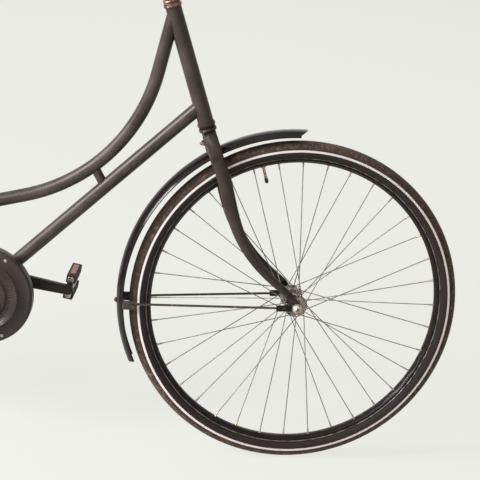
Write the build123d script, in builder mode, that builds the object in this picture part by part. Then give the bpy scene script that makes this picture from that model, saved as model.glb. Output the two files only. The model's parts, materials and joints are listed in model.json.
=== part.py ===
from build123d import *
import math
import os

# A step-through city bicycle with 28-inch wheels, parked upright on its rear stand.
# Bicycle coordinates, in millimetres: X forward and Y to the left from the front hub
# (steering straight), Z up from the ground. The chain side is at -Y.

# Wheels, 40-635 tyres
TYRE_OUTER_R = 359.0
TYRE_SECTION_R = 21.5
RIM_OUTER_R = 322.5
RIM_INNER_R = 312.0
RIM_HALF_WIDTH = 12.5
SPOKES = 36
SPOKE_R = 1.0
SPOKE_CROSS_ANGLE = 50.0
SPOKE_START_ANGLE = 1.2
VALVE_ANGLE = 107.3
SPOKE_SEAT = 2.0

# Steering geometry
HEAD_ANGLE = 70.0
FORK_RAKE = 78.0
STEER_ANGLE = 13.0
HEAD_TUBE_R = 17.0
STEERER_R = 12.7
STEERER_GAP = 0.5
HEAD_LOW_Z = 745.0
HEAD_TOP_Z = 990.0

# Frame, side view points (X, Z)
BRACKET_X, BRACKET_Z = -676.0, 315.0
REAR_HUB_X, REAR_HUB_Z = -1146.0, 384.0
SEAT_TUBE_LENGTH = 520.0
SEAT_TUBE_LEAN = 22.0
TUBE_R = 14.5
STAY_R = 8.5
SEATSTAY_R = 6.5
SHELL_R = 20.0
SHELL_HALF = 40.0
DROPOUT_Y = 57.5
DROPOUT_THICK = 5.0

# Drive
CRANK_LENGTH = 170.0
CRANK_ANGLE = -5.9
CRANK_INNER_Y = 70.0
CRANK_THICK = 12.0
SPINDLE_R = 8.0
CASE_OUTER_Y = 63.0
CASE_INNER_Y = 40.0
CASE_FRONT_R = 113.0
CASE_REAR_R = 54.0
PEDAL_LENGTH = 84.0
PEDAL_GAP = 6.0

# Mudguards
FRONT_GUARD_HALF = 27.0
REAR_GUARD_HALF = 25.0
GUARD_DROP = 11.0
GUARD_THICK = 1.4
FRONT_GUARD_R = 376.0
FRONT_GUARD_BACK, FRONT_GUARD_UP = 10.5, 7.0
REAR_GUARD_R = 380.0

# Stand
STAND_REACH = 400.0
STAND_ROD_R = 6.0
STAND_FOOT_Y = 120.0

# Where the bicycle stands in the part's frame: the origin is on the ground, under the
# middle of the whole outline. The turned bars put that middle right of the frame.
STANCE = Location((588.3, 19.8, 0.0))

os.makedirs("parts", exist_ok=True)

lean = math.radians(HEAD_ANGLE)
turn = math.radians(STEER_ANGLE)
AXIS_UP = Vector(-math.cos(lean), 0, math.sin(lean))
AXIS_AHEAD = Vector(math.sin(lean), 0, math.cos(lean))
tyre_centre_r = TYRE_OUTER_R - TYRE_SECTION_R
axle_tip = math.cos(lean) * math.sin(turn)
FRONT_HUB_Z = (
    TYRE_SECTION_R
    + tyre_centre_r * math.sqrt(1 - axle_tip**2)
    + FORK_RAKE * math.cos(lean) * (1 - math.cos(turn))
)
FRONT_HUB = Vector(0, 0, FRONT_HUB_Z)
REAR_HUB = Vector(REAR_HUB_X, 0, REAR_HUB_Z)
BRACKET = Vector(BRACKET_X, 0, BRACKET_Z)
AXIS_FOOT = FRONT_HUB - AXIS_AHEAD * FORK_RAKE
SEAT_UP = Vector(-math.sin(math.radians(SEAT_TUBE_LEAN)), 0, math.cos(math.radians(SEAT_TUBE_LEAN)))
SEAT_TOP = BRACKET + SEAT_UP * SEAT_TUBE_LENGTH
SIDEWAYS = Vector(0, 1, 0)
SIDES = {"left": 1, "right": -1}

# The steered pieces are modelled straight ahead and turned about the steering axis
to_axis = Plane(origin=AXIS_FOOT, x_dir=(0, 1, 0), z_dir=AXIS_UP).location
STEERED = STANCE * to_axis * Location((0, 0, 0), (0, 0, STEER_ANGLE)) * to_axis.inverse()


def on_axis(height):
    """The point of the steering axis at a height over the ground."""
    return AXIS_FOOT + AXIS_UP * ((height - AXIS_FOOT.Z) / AXIS_UP.Z)


def keep(piece, name, place=STANCE):
    """Stands a finished piece in its place, labels it and writes its STEP."""
    placed = piece.part.moved(place)
    placed.label = name
    export_step(placed, f"parts/{name}.step")


def rod(start, end, radius, end_radius=None):
    """A round bar between two points, tapered where an end radius is given."""
    along = Vector(end) - Vector(start)
    with BuildPart() as bar:
        with BuildSketch(Plane(origin=start, z_dir=along)):
            Circle(radius)
        if end_radius is None:
            extrude(amount=along.length)
        else:
            with BuildSketch(Plane(origin=end, z_dir=along)):
                Circle(end_radius)
            loft()
    return bar.part


def bent_rod(points, bend, radius):
    """A round bar along straight runs that arcs of one bend radius join."""
    with BuildPart() as bar:
        with BuildLine() as route:
            FilletPolyline(*points, radius=bend)
        with BuildSketch(Plane(origin=route.line @ 0, z_dir=route.line % 0)):
            Circle(radius)
        sweep()
    return bar.part


def side_plane(y):
    """The plane at Y = y whose local X and Y are the bicycle's X and Z."""
    return Plane(origin=(0, y, 0), x_dir=(1, 0, 0), z_dir=(0, -1, 0))


def plate(outline, y_low, thickness):
    """A flat plate with rounded outline through circles (X, Z, radius), facing sideways."""
    with BuildPart() as sheet:
        with BuildSketch(side_plane(y_low)):
            for x, z, radius in outline:
                with Locations((x, z)):
                    Circle(radius)
            make_hull()
        extrude(amount=-thickness)
    return sheet.part


def wheel_axis(hub):
    return Axis(hub, (0, 1, 0))


def radial_plane(hub):
    """Local X is out from the hub, forward, and local Y is along the axle, to the left."""
    return Plane(origin=hub, x_dir=(1, 0, 0), z_dir=(0, 0, 1))


def guard_arc(hub, radius, half_width, start_deg, end_deg):
    """The curved shell of a mudguard, as a crowned strip turned about an axle line."""
    start_plane = radial_plane(hub).rotated((0, -start_deg, 0))
    edge = radius - GUARD_DROP
    with BuildPart() as shell:
        with BuildSketch(start_plane):
            with BuildLine():
                outer = ThreePointArc((edge, -half_width), (radius, 0), (edge, half_width))
                inner = ThreePointArc(
                    (edge - GUARD_THICK, half_width - GUARD_THICK),
                    (radius - GUARD_THICK, 0),
                    (edge - GUARD_THICK, -half_width + GUARD_THICK),
                )
                Line(outer @ 1, inner @ 0)
                Line(inner @ 1, outer @ 0)
            make_face()
        revolve(axis=Axis(hub, (0, -1, 0)), revolution_arc=end_deg - start_deg)
    return shell.part


# Head tube, bored for the steerer
head_blank = rod(on_axis(HEAD_LOW_Z), on_axis(HEAD_TOP_Z), HEAD_TUBE_R)
steerer_bore = rod(on_axis(HEAD_LOW_Z - 30), on_axis(HEAD_TOP_Z + 30), STEERER_R + STEERER_GAP)
with BuildPart() as head_tube:
    add(head_blank)
    add(steerer_bore, mode=Mode.SUBTRACT)
keep(head_tube, "head_tube")

# Headset cups, pressed on the head tube's ends: radius and height of each step
CUP_STEPS = [(19.5, 5.0), (17.6, 6.0)]
with BuildPart() as headset_cups:
    for end_z, way in ((HEAD_LOW_Z, -1), (HEAD_TOP_Z, 1)):
        foot = on_axis(end_z)
        for radius, height in CUP_STEPS:
            tip = foot + AXIS_UP * (way * height)
            add(rod(foot, tip, radius))
            foot = tip
    add(steerer_bore, mode=Mode.SUBTRACT)
keep(headset_cups, "headset_cups")
CUP_HEIGHT = sum(height for radius, height in CUP_STEPS)

# Curved top tube: straight, one long bend, straight
TOP_BEND_START = Vector(-333.2, 0, 843.7)
TOP_BEND_R = 400.0
TOP_START_LEAN = 10.5
TOP_END_LEAN = 72.0
start_slope = math.radians(TOP_START_LEAN)
end_slope = math.radians(TOP_END_LEAN)
top_rise = Vector(math.sin(start_slope), 0, math.cos(start_slope))
top_run = Vector(-math.sin(end_slope), 0, -math.cos(end_slope))
bend_shift = Vector(
    TOP_BEND_R * (math.cos(end_slope) - math.cos(start_slope)),
    0,
    TOP_BEND_R * (math.sin(start_slope) - math.sin(end_slope)),
)
top_bend_end = TOP_BEND_START + bend_shift
TOP_UPPER_RUN = 136.5
TOP_LOWER_RUN = 151.0
half_slope = (start_slope + end_slope) / 2
sagitta_point = TOP_BEND_START + Vector(
    TOP_BEND_R * (math.cos(half_slope) - math.cos(start_slope)),
    0,
    TOP_BEND_R * (math.sin(start_slope) - math.sin(half_slope)),
)
with BuildPart() as top_tube:
    with BuildLine() as top_route:
        upper = Line(TOP_BEND_START + top_rise * TOP_UPPER_RUN, TOP_BEND_START)
        bend = ThreePointArc(TOP_BEND_START, sagitta_point, top_bend_end)
        lower = Line(top_bend_end, top_bend_end + top_run * TOP_LOWER_RUN)
    with BuildSketch(Plane(origin=top_route.line @ 0, z_dir=top_route.line % 0)):
        Circle(TUBE_R)
    sweep()
    add(head_blank, mode=Mode.SUBTRACT)
    add(rod(BRACKET, SEAT_TOP, TUBE_R), mode=Mode.SUBTRACT)
keep(top_tube, "top_tube")

# Bottom bracket shell with the spindle's bore
with BuildPart() as bottom_bracket:
    with BuildSketch(side_plane(SHELL_HALF)):
        with Locations((BRACKET_X, BRACKET_Z)):
            Circle(SHELL_R)
            Circle(SPINDLE_R + 0.6, mode=Mode.SUBTRACT)
    extrude(amount=2 * SHELL_HALF)
keep(bottom_bracket, "bottom_bracket")
shell_blank = rod(BRACKET - SIDEWAYS * SHELL_HALF, BRACKET + SIDEWAYS * SHELL_HALF, SHELL_R)

# Down tube, from the head tube to the bottom bracket
DOWN_HEAD_Z = 781.0
with BuildPart() as down_tube:
    add(rod(on_axis(DOWN_HEAD_Z), BRACKET, TUBE_R + 0.3))
    add(head_blank, mode=Mode.SUBTRACT)
    add(shell_blank, mode=Mode.SUBTRACT)
keep(down_tube, "down_tube")

# Short bridge between the curved tube and the down tube
with BuildPart() as frame_bridge:
    add(rod((-456.0, 0, 620.0), (-430.0, 0, 576.0), 10.0))
    add(top_tube.part, mode=Mode.SUBTRACT)
    add(down_tube.part, mode=Mode.SUBTRACT)
keep(frame_bridge, "frame_bridge")

# Seat tube
with BuildPart() as seat_tube:
    add(rod(BRACKET, SEAT_TOP, TUBE_R))
    add(shell_blank, mode=Mode.SUBTRACT)
    add(down_tube.part, mode=Mode.SUBTRACT)
keep(seat_tube, "seat_tube")

# Rear dropouts: circles (X, Z, radius) round the axle and the two stays' ends
STAY_END_X, STAY_END_Z = REAR_HUB_X + 46, REAR_HUB_Z - 8
SEATSTAY_END_X, SEATSTAY_END_Z = REAR_HUB_X + 26, REAR_HUB_Z + 48
EYELET_X, EYELET_Z = REAR_HUB_X - 14, REAR_HUB_Z + 66
AXLE_R = 5.0
with BuildPart() as rear_dropouts:
    for side in SIDES.values():
        y_low = side * DROPOUT_Y - DROPOUT_THICK / 2
        add(plate([(REAR_HUB_X, REAR_HUB_Z, 15), (STAY_END_X, STAY_END_Z, 9)], y_low, DROPOUT_THICK))
        add(plate([(REAR_HUB_X, REAR_HUB_Z, 15), (SEATSTAY_END_X, SEATSTAY_END_Z, 8)], y_low, DROPOUT_THICK))
        add(plate([(REAR_HUB_X, REAR_HUB_Z, 10), (EYELET_X, EYELET_Z, 7)], y_low, DROPOUT_THICK))
    with BuildSketch(side_plane(-DROPOUT_Y - DROPOUT_THICK)):
        with Locations((REAR_HUB_X, REAR_HUB_Z)):
            Circle(AXLE_R)
    extrude(amount=-2 * (DROPOUT_Y + DROPOUT_THICK), mode=Mode.SUBTRACT)
keep(rear_dropouts, "rear_dropouts")

# Chainstays and seatstays, one pair a side
STAY_START_Y = 29.0
SEATSTAY_TOP = BRACKET + SEAT_UP * (SEAT_TUBE_LENGTH - 42)
SEATSTAY_TOP_Y = 25.0
stays = {}
for side_name, side in SIDES.items():
    with BuildPart() as chainstay:
        start = BRACKET + SIDEWAYS * (side * STAY_START_Y)
        add(rod(start, (STAY_END_X, side * DROPOUT_Y, STAY_END_Z), STAY_R, STAY_R - 1.5))
        add(shell_blank, mode=Mode.SUBTRACT)
        add(rear_dropouts.part, mode=Mode.SUBTRACT)
    keep(chainstay, f"chainstay_{side_name}")
    with BuildPart() as seatstay:
        start = SEATSTAY_TOP + SIDEWAYS * (side * SEATSTAY_TOP_Y)
        add(rod(start, (SEATSTAY_END_X, side * DROPOUT_Y, SEATSTAY_END_Z), SEATSTAY_R, SEATSTAY_R - 0.5))
        add(rod(SEATSTAY_TOP, start, SEATSTAY_R))
        add(seat_tube.part, mode=Mode.SUBTRACT)
        add(rear_dropouts.part, mode=Mode.SUBTRACT)
    keep(seatstay, f"seatstay_{side_name}")
    stays[side_name] = (chainstay.part, seatstay.part)

# Bridge between the chainstays, where the rear mudguard's front end is bolted
CHAINSTAY_BRIDGE_R = 6.0
bridge_angle = math.radians(8.4)
bridge_reach = REAR_GUARD_R + CHAINSTAY_BRIDGE_R
bridge_at = REAR_HUB + Vector(math.cos(bridge_angle), 0, -math.sin(bridge_angle)) * bridge_reach
with BuildPart() as chainstay_bridge:
    add(rod(bridge_at - SIDEWAYS * STAY_START_Y, bridge_at + SIDEWAYS * STAY_START_Y, CHAINSTAY_BRIDGE_R))
    for chainstay_part, seatstay_part in stays.values():
        add(chainstay_part, mode=Mode.SUBTRACT)
keep(chainstay_bridge, "chainstay_bridge")

# Chaincase: a flat shell round the drive, dished with rings round the crank
RING_BANDS = [(82.0, 76.0), (55.0, 49.0)]
RING_HEIGHT = 1.6
SPACER_R = 9.0
with BuildPart() as chaincase:
    with BuildSketch(side_plane(-CASE_INNER_Y)):
        with Locations((BRACKET_X, BRACKET_Z)):
            Circle(CASE_FRONT_R)
        with Locations((REAR_HUB_X, REAR_HUB_Z)):
            Circle(CASE_REAR_R)
        make_hull()
    extrude(amount=CASE_OUTER_Y - CASE_INNER_Y)
    fillet(chaincase.faces().sort_by(Axis.Y)[0].edges(), radius=7.0)
    for outer_r, inner_r in RING_BANDS:
        with BuildSketch(side_plane(-CASE_OUTER_Y)):
            with Locations((BRACKET_X, BRACKET_Z)):
                Circle(outer_r)
                Circle(inner_r, mode=Mode.SUBTRACT)
        extrude(amount=RING_HEIGHT)
    with BuildSketch(side_plane(0)):
        with Locations((BRACKET_X, BRACKET_Z)):
            Circle(SPINDLE_R + 6)
        with Locations((REAR_HUB_X, REAR_HUB_Z)):
            Circle(SPACER_R + 1)
    extrude(amount=2 * CASE_OUTER_Y, mode=Mode.SUBTRACT)
    for stay_part in stays["right"]:
        add(stay_part, mode=Mode.SUBTRACT)
    add(rear_dropouts.part, mode=Mode.SUBTRACT)
keep(chaincase, "chaincase")

# Seat clamp collar and seat post
POST_R = 12.6
POST_RISE = 88.0
with BuildPart() as seat_clamp:
    add(rod(SEAT_TOP - SEAT_UP * 2, SEAT_TOP + SEAT_UP * 16, 18.5))
    add(rod(SEAT_TOP - SEAT_UP * 30, SEAT_TOP, TUBE_R), mode=Mode.SUBTRACT)
    add(rod(SEAT_TOP, SEAT_TOP + SEAT_UP * 40, POST_R), mode=Mode.SUBTRACT)
    lug = SEAT_TOP + SEAT_UP * 8 - Vector(21, 0, 8)
    add(rod(lug - SIDEWAYS * 15, lug + SIDEWAYS * 15, 4.0))
keep(seat_clamp, "seat_clamp")
POST_TOP = SEAT_TOP + SEAT_UP * POST_RISE
with BuildPart() as seat_post:
    add(rod(SEAT_TOP, POST_TOP, POST_R))
keep(seat_post, "seat_post")

# Saddle: underframe with rails and two coil springs, and the cover
SADDLE_X = POST_TOP.X
SADDLE_FLOOR_Z = POST_TOP.Z + 62
NOSE_X, TAIL_X = SADDLE_X + 150, SADDLE_X - 115
with BuildPart() as saddle_frame:
    add(rod((SADDLE_X, -17, POST_TOP.Z - 10), (SADDLE_X, 17, POST_TOP.Z - 10), 17.0))
    add(seat_post.part, mode=Mode.SUBTRACT)
    for side in SIDES.values():
        rail = [
            (NOSE_X - 14, side * 8, SADDLE_FLOOR_Z - 4.5),
            (SADDLE_X + 60, side * 16, POST_TOP.Z - 4),
            (TAIL_X + 74, side * 30, POST_TOP.Z - 4),
            (TAIL_X + 38, side * 62, SADDLE_FLOOR_Z - 46),
            (TAIL_X + 36, side * 80, SADDLE_FLOOR_Z - 46),
        ]
        add(bent_rod(rail, 8.0, 3.5))
        coil_foot = Vector(TAIL_X + 36, side * 66, SADDLE_FLOOR_Z - 46)
        add(rod(coil_foot, coil_foot + Vector(0, 0, 46), 16.0))
    add(rod((NOSE_X - 14, -12, SADDLE_FLOOR_Z - 4.5), (NOSE_X - 14, 12, SADDLE_FLOOR_Z - 4.5), 4.5))
keep(saddle_frame, "saddle_frame")

SADDLE_HEIGHT = 50.0
with BuildPart() as saddle_cover:
    with BuildSketch(Plane.XY.offset(SADDLE_FLOOR_Z)):
        with Locations((NOSE_X - 24, 0)):
            Circle(24)
        with Locations((NOSE_X - 110, 0)):
            Circle(30)
        make_hull()
        with BuildSketch(mode=Mode.ADD):
            with Locations((TAIL_X + 62, 44), (TAIL_X + 62, -44)):
                Circle(62)
            with Locations((NOSE_X - 100, 0)):
                Circle(28)
            make_hull()
    extrude(amount=SADDLE_HEIGHT)
    fillet(saddle_cover.faces().sort_by(Axis.Z)[-1].edges(), radius=18.0)
keep(saddle_cover, "saddle_cover")

# Wheels: a tyre, a rim and a laced hub at each end of the bicycle.
# Columns: name, hub, place, half width over the locknuts, shell radius, flange place, flange radius
WHEELS = [
    ("front", FRONT_HUB, STEERED, 45.0, 14.0, 36.0, 25.0),
    ("rear", REAR_HUB, STANCE, 33.5, 24.0, 28.0, 36.0),
]
FLANGE_HALF_THICK = 1.5
SPOKE_OUTSIDE = 2.0
RIM_SPOKE_Y = 3.0
VALVE_R = 3.2
VALVE_LENGTH = 34.0
for name, hub, place, hub_half, shell_r, flange_y, flange_r in WHEELS:
    axis = wheel_axis(hub)
    with BuildPart() as rim:
        with BuildSketch(radial_plane(hub)):
            with BuildLine():
                Polyline(
                    (RIM_OUTER_R, -RIM_HALF_WIDTH),
                    (RIM_OUTER_R, RIM_HALF_WIDTH),
                    (RIM_INNER_R + 6, RIM_HALF_WIDTH - 1),
                    (RIM_INNER_R, RIM_HALF_WIDTH - 7),
                    (RIM_INNER_R, -RIM_HALF_WIDTH + 7),
                    (RIM_INNER_R + 6, -RIM_HALF_WIDTH + 1),
                    close=True,
                )
            make_face()
        revolve(axis=axis)
        valve_way = Vector(math.cos(math.radians(VALVE_ANGLE)), 0, math.sin(math.radians(VALVE_ANGLE)))
        add(rod(hub + valve_way * (RIM_INNER_R + 2), hub + valve_way * (RIM_INNER_R - VALVE_LENGTH), VALVE_R))
    keep(rim, f"{name}_rim", place)
    with BuildPart() as tyre:
        with BuildSketch(radial_plane(hub)):
            with Locations((tyre_centre_r, 0)):
                Circle(TYRE_SECTION_R)
            with Locations((RIM_OUTER_R - 10, 0)):
                Rectangle(20, 2 * TYRE_SECTION_R, mode=Mode.SUBTRACT)
        revolve(axis=axis)
    keep(tyre, f"{name}_tyre", place)
    with BuildPart() as hub_shell:
        with BuildSketch(radial_plane(hub)):
            with BuildLine():
                half_profile = [
                    (shell_r, flange_y - 4),
                    (flange_r, flange_y - FLANGE_HALF_THICK),
                    (flange_r, flange_y + FLANGE_HALF_THICK),
                    (shell_r, flange_y + 2),
                    (shell_r - 4, hub_half),
                    (AXLE_R + 0.6, hub_half),
                ]
                other_half = [(out, -across) for out, across in reversed(half_profile)]
                Polyline(*other_half, *half_profile, close=True)
            make_face()
        revolve(axis=axis)
        for count in range(SPOKES):
            side = 1 if count % 2 else -1
            leading = count % 4 in (0, 3)
            rim_angle = math.radians(SPOKE_START_ANGLE + count * 360 / SPOKES)
            hub_angle = rim_angle + math.radians(SPOKE_CROSS_ANGLE if leading else -SPOKE_CROSS_ANGLE)
            hub_y = side * (flange_y + (SPOKE_OUTSIDE if leading else -SPOKE_OUTSIDE))
            hub_r = flange_r - 4
            rim_r = RIM_INNER_R + SPOKE_SEAT
            inner_end = hub + Vector(hub_r * math.cos(hub_angle), hub_y, hub_r * math.sin(hub_angle))
            rim_y = side * RIM_SPOKE_Y
            outer_end = hub + Vector(rim_r * math.cos(rim_angle), rim_y, rim_r * math.sin(rim_angle))
            add(rod(inner_end, outer_end, SPOKE_R))
    keep(hub_shell, f"{name}_hub", place)

# Axles with their nuts and spacers. Columns: name, hub, place, length of the free ends, inner
# ends of the nuts, inner and outer ends of the spacers between hub and dropout, spacer radius
NUT_R = 9.0
NUT_HEIGHT = 8.0
AXLE_END_R = 4.7
AXLES = [
    ("front", FRONT_HUB, STEERED, 6.0, 57.0, 46.0, 48.0, 8.0),
    ("rear", REAR_HUB, STANCE, 8.5, 69.5, 35.0, 55.0, SPACER_R),
]
for name, hub, place, free_end, nut_y, spacer_in, spacer_out, spacer_r in AXLES:
    with BuildPart() as axle:
        core_half = nut_y + NUT_HEIGHT / 2
        tip_half = nut_y + NUT_HEIGHT + free_end
        add(rod(hub - SIDEWAYS * core_half, hub + SIDEWAYS * core_half, AXLE_R))
        for side in SIDES.values():
            add(rod(hub + SIDEWAYS * (side * core_half), hub + SIDEWAYS * (side * tip_half), AXLE_END_R))
            add(rod(hub + SIDEWAYS * (side * spacer_in), hub + SIDEWAYS * (side * spacer_out), spacer_r))
            with BuildSketch(Plane(origin=hub + SIDEWAYS * (side * nut_y), z_dir=(0, side, 0))):
                RegularPolygon(NUT_R, 6)
            extrude(amount=NUT_HEIGHT)
    keep(axle, f"{name}_axle", place)

# Fork crown, a forged shoulder piece under the lower headset cup, with the steerer
lock_foot = on_axis(HEAD_TOP_Z) + AXIS_UP * (CUP_HEIGHT + 0.5)
CROWN_TOP_Z = HEAD_LOW_Z - CUP_HEIGHT * math.sin(lean) - 0.5
BLADE_TOP_Y = 41.0
BLADE_LOW_Y = 50.5
CROWN_DEPTH = 30.0
CROWN_DROP = 64.0
# Columns: sideways from the middle, up from the crown's top
CROWN_OUTLINE = [
    (15, 0),
    (15, -16),
    (BLADE_TOP_Y + 9, -40),
    (BLADE_TOP_Y + 9, -CROWN_DROP),
    (BLADE_TOP_Y - 9, -CROWN_DROP),
    (BLADE_TOP_Y - 11, -50),
    (12, -36),
]
crown_top = on_axis(CROWN_TOP_Z)
crown_face = Plane(origin=crown_top + AXIS_AHEAD * (CROWN_DEPTH / 2), x_dir=(0, 1, 0), z_dir=AXIS_AHEAD)
with BuildPart() as fork_crown:
    with BuildSketch(crown_face):
        with BuildLine():
            other_side = [(-across, up) for across, up in reversed(CROWN_OUTLINE)]
            Polyline(*CROWN_OUTLINE, *other_side, close=True)
        make_face()
    extrude(amount=-CROWN_DEPTH)
    fillet(fork_crown.edges().filter_by(Axis((0, 0, 0), AXIS_AHEAD), reverse=True), radius=4.0)
    add(rod(crown_top, crown_top - AXIS_UP * 6, 19.0))
    add(rod(crown_top - AXIS_UP * 6, lock_foot, STEERER_R))
keep(fork_crown, "fork_crown", STEERED)

# Fork blades: oval tubes that taper and bend forward, with their dropouts.
# Columns: turn of the bend passed, run after the bend, half depth, half width
BLADE_BEND_Z = 548.0
BLADE_BEND_R = 300.0
BLADE_BEND = 32.0
BLADE_END_RUN = 44.0
BLADE_SECTIONS = [
    (0.0, 0.0, 13.5, 9.0),
    (BLADE_BEND / 2, 0.0, 11.0, 8.6),
    (BLADE_BEND, 0.0, 9.0, 8.2),
    (BLADE_BEND, BLADE_END_RUN, 8.2, 8.0),
]
blade_start = crown_top - AXIS_UP * (CROWN_DROP - 2)
bend_start = on_axis(BLADE_BEND_Z)
blade_length = (bend_start - blade_start).length + math.radians(BLADE_BEND) * BLADE_BEND_R + BLADE_END_RUN
first_slope = 90 - HEAD_ANGLE


def blade_spot(turned, run):
    """Centre line of a blade in side view, and its direction, after a turn and a run."""
    slope = math.radians(first_slope + turned)
    first = math.radians(first_slope)
    way = Vector(math.sin(slope), 0, -math.cos(slope))
    bent = Vector(math.cos(first) - math.cos(slope), 0, math.sin(first) - math.sin(slope))
    return bend_start + bent * BLADE_BEND_R + way * run, way


with BuildPart() as fork_blades:
    for side in SIDES.values():
        blade_top = blade_start + SIDEWAYS * (side * BLADE_TOP_Y)
        with BuildSketch(Plane(origin=blade_top, x_dir=(0, 1, 0), z_dir=-AXIS_UP)):
            Ellipse(9.5, 14.5)
        for turned, run, half_depth, half_width in BLADE_SECTIONS:
            spot, way = blade_spot(turned, run)
            passed = (bend_start - blade_start).length + math.radians(turned) * BLADE_BEND_R + run
            across = side * (BLADE_TOP_Y + (BLADE_LOW_Y - BLADE_TOP_Y) * passed / blade_length)
            with BuildSketch(Plane(origin=spot + SIDEWAYS * across, x_dir=(0, 1, 0), z_dir=way)):
                Ellipse(half_width, half_depth)
        loft()
        tip, way = blade_spot(BLADE_BEND, BLADE_END_RUN)
        add(plate([(0, FRONT_HUB_Z, 11), (tip.X, tip.Z, 8)], side * BLADE_LOW_Y - 2.5, 5.0))
    with BuildSketch(side_plane(-BLADE_LOW_Y - 10)):
        with Locations((0, FRONT_HUB_Z)):
            Circle(AXLE_R)
    extrude(amount=-2 * (BLADE_LOW_Y + 10), mode=Mode.SUBTRACT)
    add(fork_crown.part, mode=Mode.SUBTRACT)
keep(fork_blades, "fork_blades", STEERED)

# Headset locknut over the upper cup
LOCKNUT_HEIGHT = 12.0
with BuildPart() as headset_locknut:
    add(rod(lock_foot, lock_foot + AXIS_UP * 5, 19.0, 16.0))
    with BuildSketch(Plane(origin=lock_foot + AXIS_UP * 5, z_dir=AXIS_UP)):
        RegularPolygon(18.0, 6)
    extrude(amount=LOCKNUT_HEIGHT - 5)
keep(headset_locknut, "headset_locknut", STEERED)

# Stem: quill, neck and bar clamp
QUILL_R = 11.0
BAR_R = 11.0
quill_foot = lock_foot + AXIS_UP * LOCKNUT_HEIGHT
quill_top = quill_foot + AXIS_UP * 62
BAR_CENTRE = quill_top + Vector(46, 0, 12)
with BuildPart() as stem:
    add(rod(quill_foot, quill_top, QUILL_R))
    add(rod(quill_top - AXIS_UP * 12 - Vector(8, 0, 0), BAR_CENTRE, 14.0, 12.0))
    add(rod(BAR_CENTRE - SIDEWAYS * 21, BAR_CENTRE + SIDEWAYS * 21, 16.5))
    add(rod(BAR_CENTRE - SIDEWAYS * 22, BAR_CENTRE + SIDEWAYS * 22, BAR_R), mode=Mode.SUBTRACT)
keep(stem, "stem", STEERED)

# Handlebar, swept back to the grips. Columns: forward, sideways, up from the clamp
BAR_ROUTE = [(0, 66, 0), (42, 150, 44), (-8, 258, 62), (-96, 290, 60), (-250, 278, 36)]
BAR_BEND = 44.0
GRIP_LENGTH = 124.0
GRIP_R = 15.5
left_half = [BAR_CENTRE + Vector(*step) for step in BAR_ROUTE]
right_half = [Vector(point.X, -point.Y, point.Z) for point in left_half]
with BuildPart() as handlebar:
    add(bent_rod([*reversed(right_half), *left_half], BAR_BEND, BAR_R))
keep(handlebar, "handlebar", STEERED)
with BuildPart() as grips:
    for bend_point, end_point in ((left_half[-2], left_half[-1]), (right_half[-2], right_half[-1])):
        way = (end_point - bend_point).normalized()
        add(rod(end_point - way * GRIP_LENGTH, end_point + way * 4, GRIP_R, GRIP_R + 1.0))
        add(rod(end_point - way * (GRIP_LENGTH + 2), end_point, BAR_R), mode=Mode.SUBTRACT)
keep(grips, "grips", STEERED)

# Bell on the bar, left of the stem
BELL_R = 26.0
bell_at = BAR_CENTRE + Vector(0, 44, BAR_R)
with BuildPart() as bell:
    with BuildSketch(Plane.XY.offset(bell_at.Z + 9)):
        with Locations((bell_at.X, bell_at.Y)):
            Circle(BELL_R)
    extrude(amount=20)
    fillet(bell.faces().sort_by(Axis.Z)[-1].edges(), radius=17.0)
    add(rod(bell_at - Vector(0, 0, 4), bell_at + Vector(0, 0, 10), 7.0))
    add(rod(bell_at + Vector(0, -6, -BAR_R), bell_at + Vector(0, 6, -BAR_R), BAR_R + 2.5))
    add(rod(bell_at + Vector(0, -8, -BAR_R), bell_at + Vector(0, 8, -BAR_R), BAR_R), mode=Mode.SUBTRACT)
keep(bell, "bell", STEERED)

# Front mudguard, set a little behind and above the hub, and its stays with the cross strip
front_guard_centre = FRONT_HUB + Vector(-FRONT_GUARD_BACK, 0, FRONT_GUARD_UP)
with BuildPart() as front_mudguard:
    add(guard_arc(front_guard_centre, FRONT_GUARD_R, FRONT_GUARD_HALF, 89, 205))
keep(front_mudguard, "front_mudguard", STEERED)
STAY_ROD_R = 2.5
STAY_EYE_Y = 55.0
strip_x = -FRONT_GUARD_BACK - (FRONT_GUARD_R - GUARD_DROP - GUARD_THICK)
strip_z = FRONT_HUB_Z - 16
with BuildPart() as front_guard_stays:
    with Locations((strip_x + 1.5, 0, strip_z)):
        Box(3, 2 * FRONT_GUARD_HALF + 8, 20)
    for side in SIDES.values():
        eye = FRONT_HUB + SIDEWAYS * (side * STAY_EYE_Y)
        add(rod((strip_x + 2, side * (FRONT_GUARD_HALF + 2), strip_z), eye + Vector(-24, 0, -1), STAY_ROD_R))
        add(plate([(0, FRONT_HUB_Z, 9), (-26, FRONT_HUB_Z - 1, 4)], side * STAY_EYE_Y - 1.5, 3.0))
    with BuildSketch(side_plane(-STAY_EYE_Y - 10)):
        with Locations((0, FRONT_HUB_Z)):
            Circle(AXLE_R)
    extrude(amount=-2 * (STAY_EYE_Y + 10), mode=Mode.SUBTRACT)
    add(front_mudguard.part, mode=Mode.SUBTRACT)
keep(front_guard_stays, "front_guard_stays", STEERED)

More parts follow.
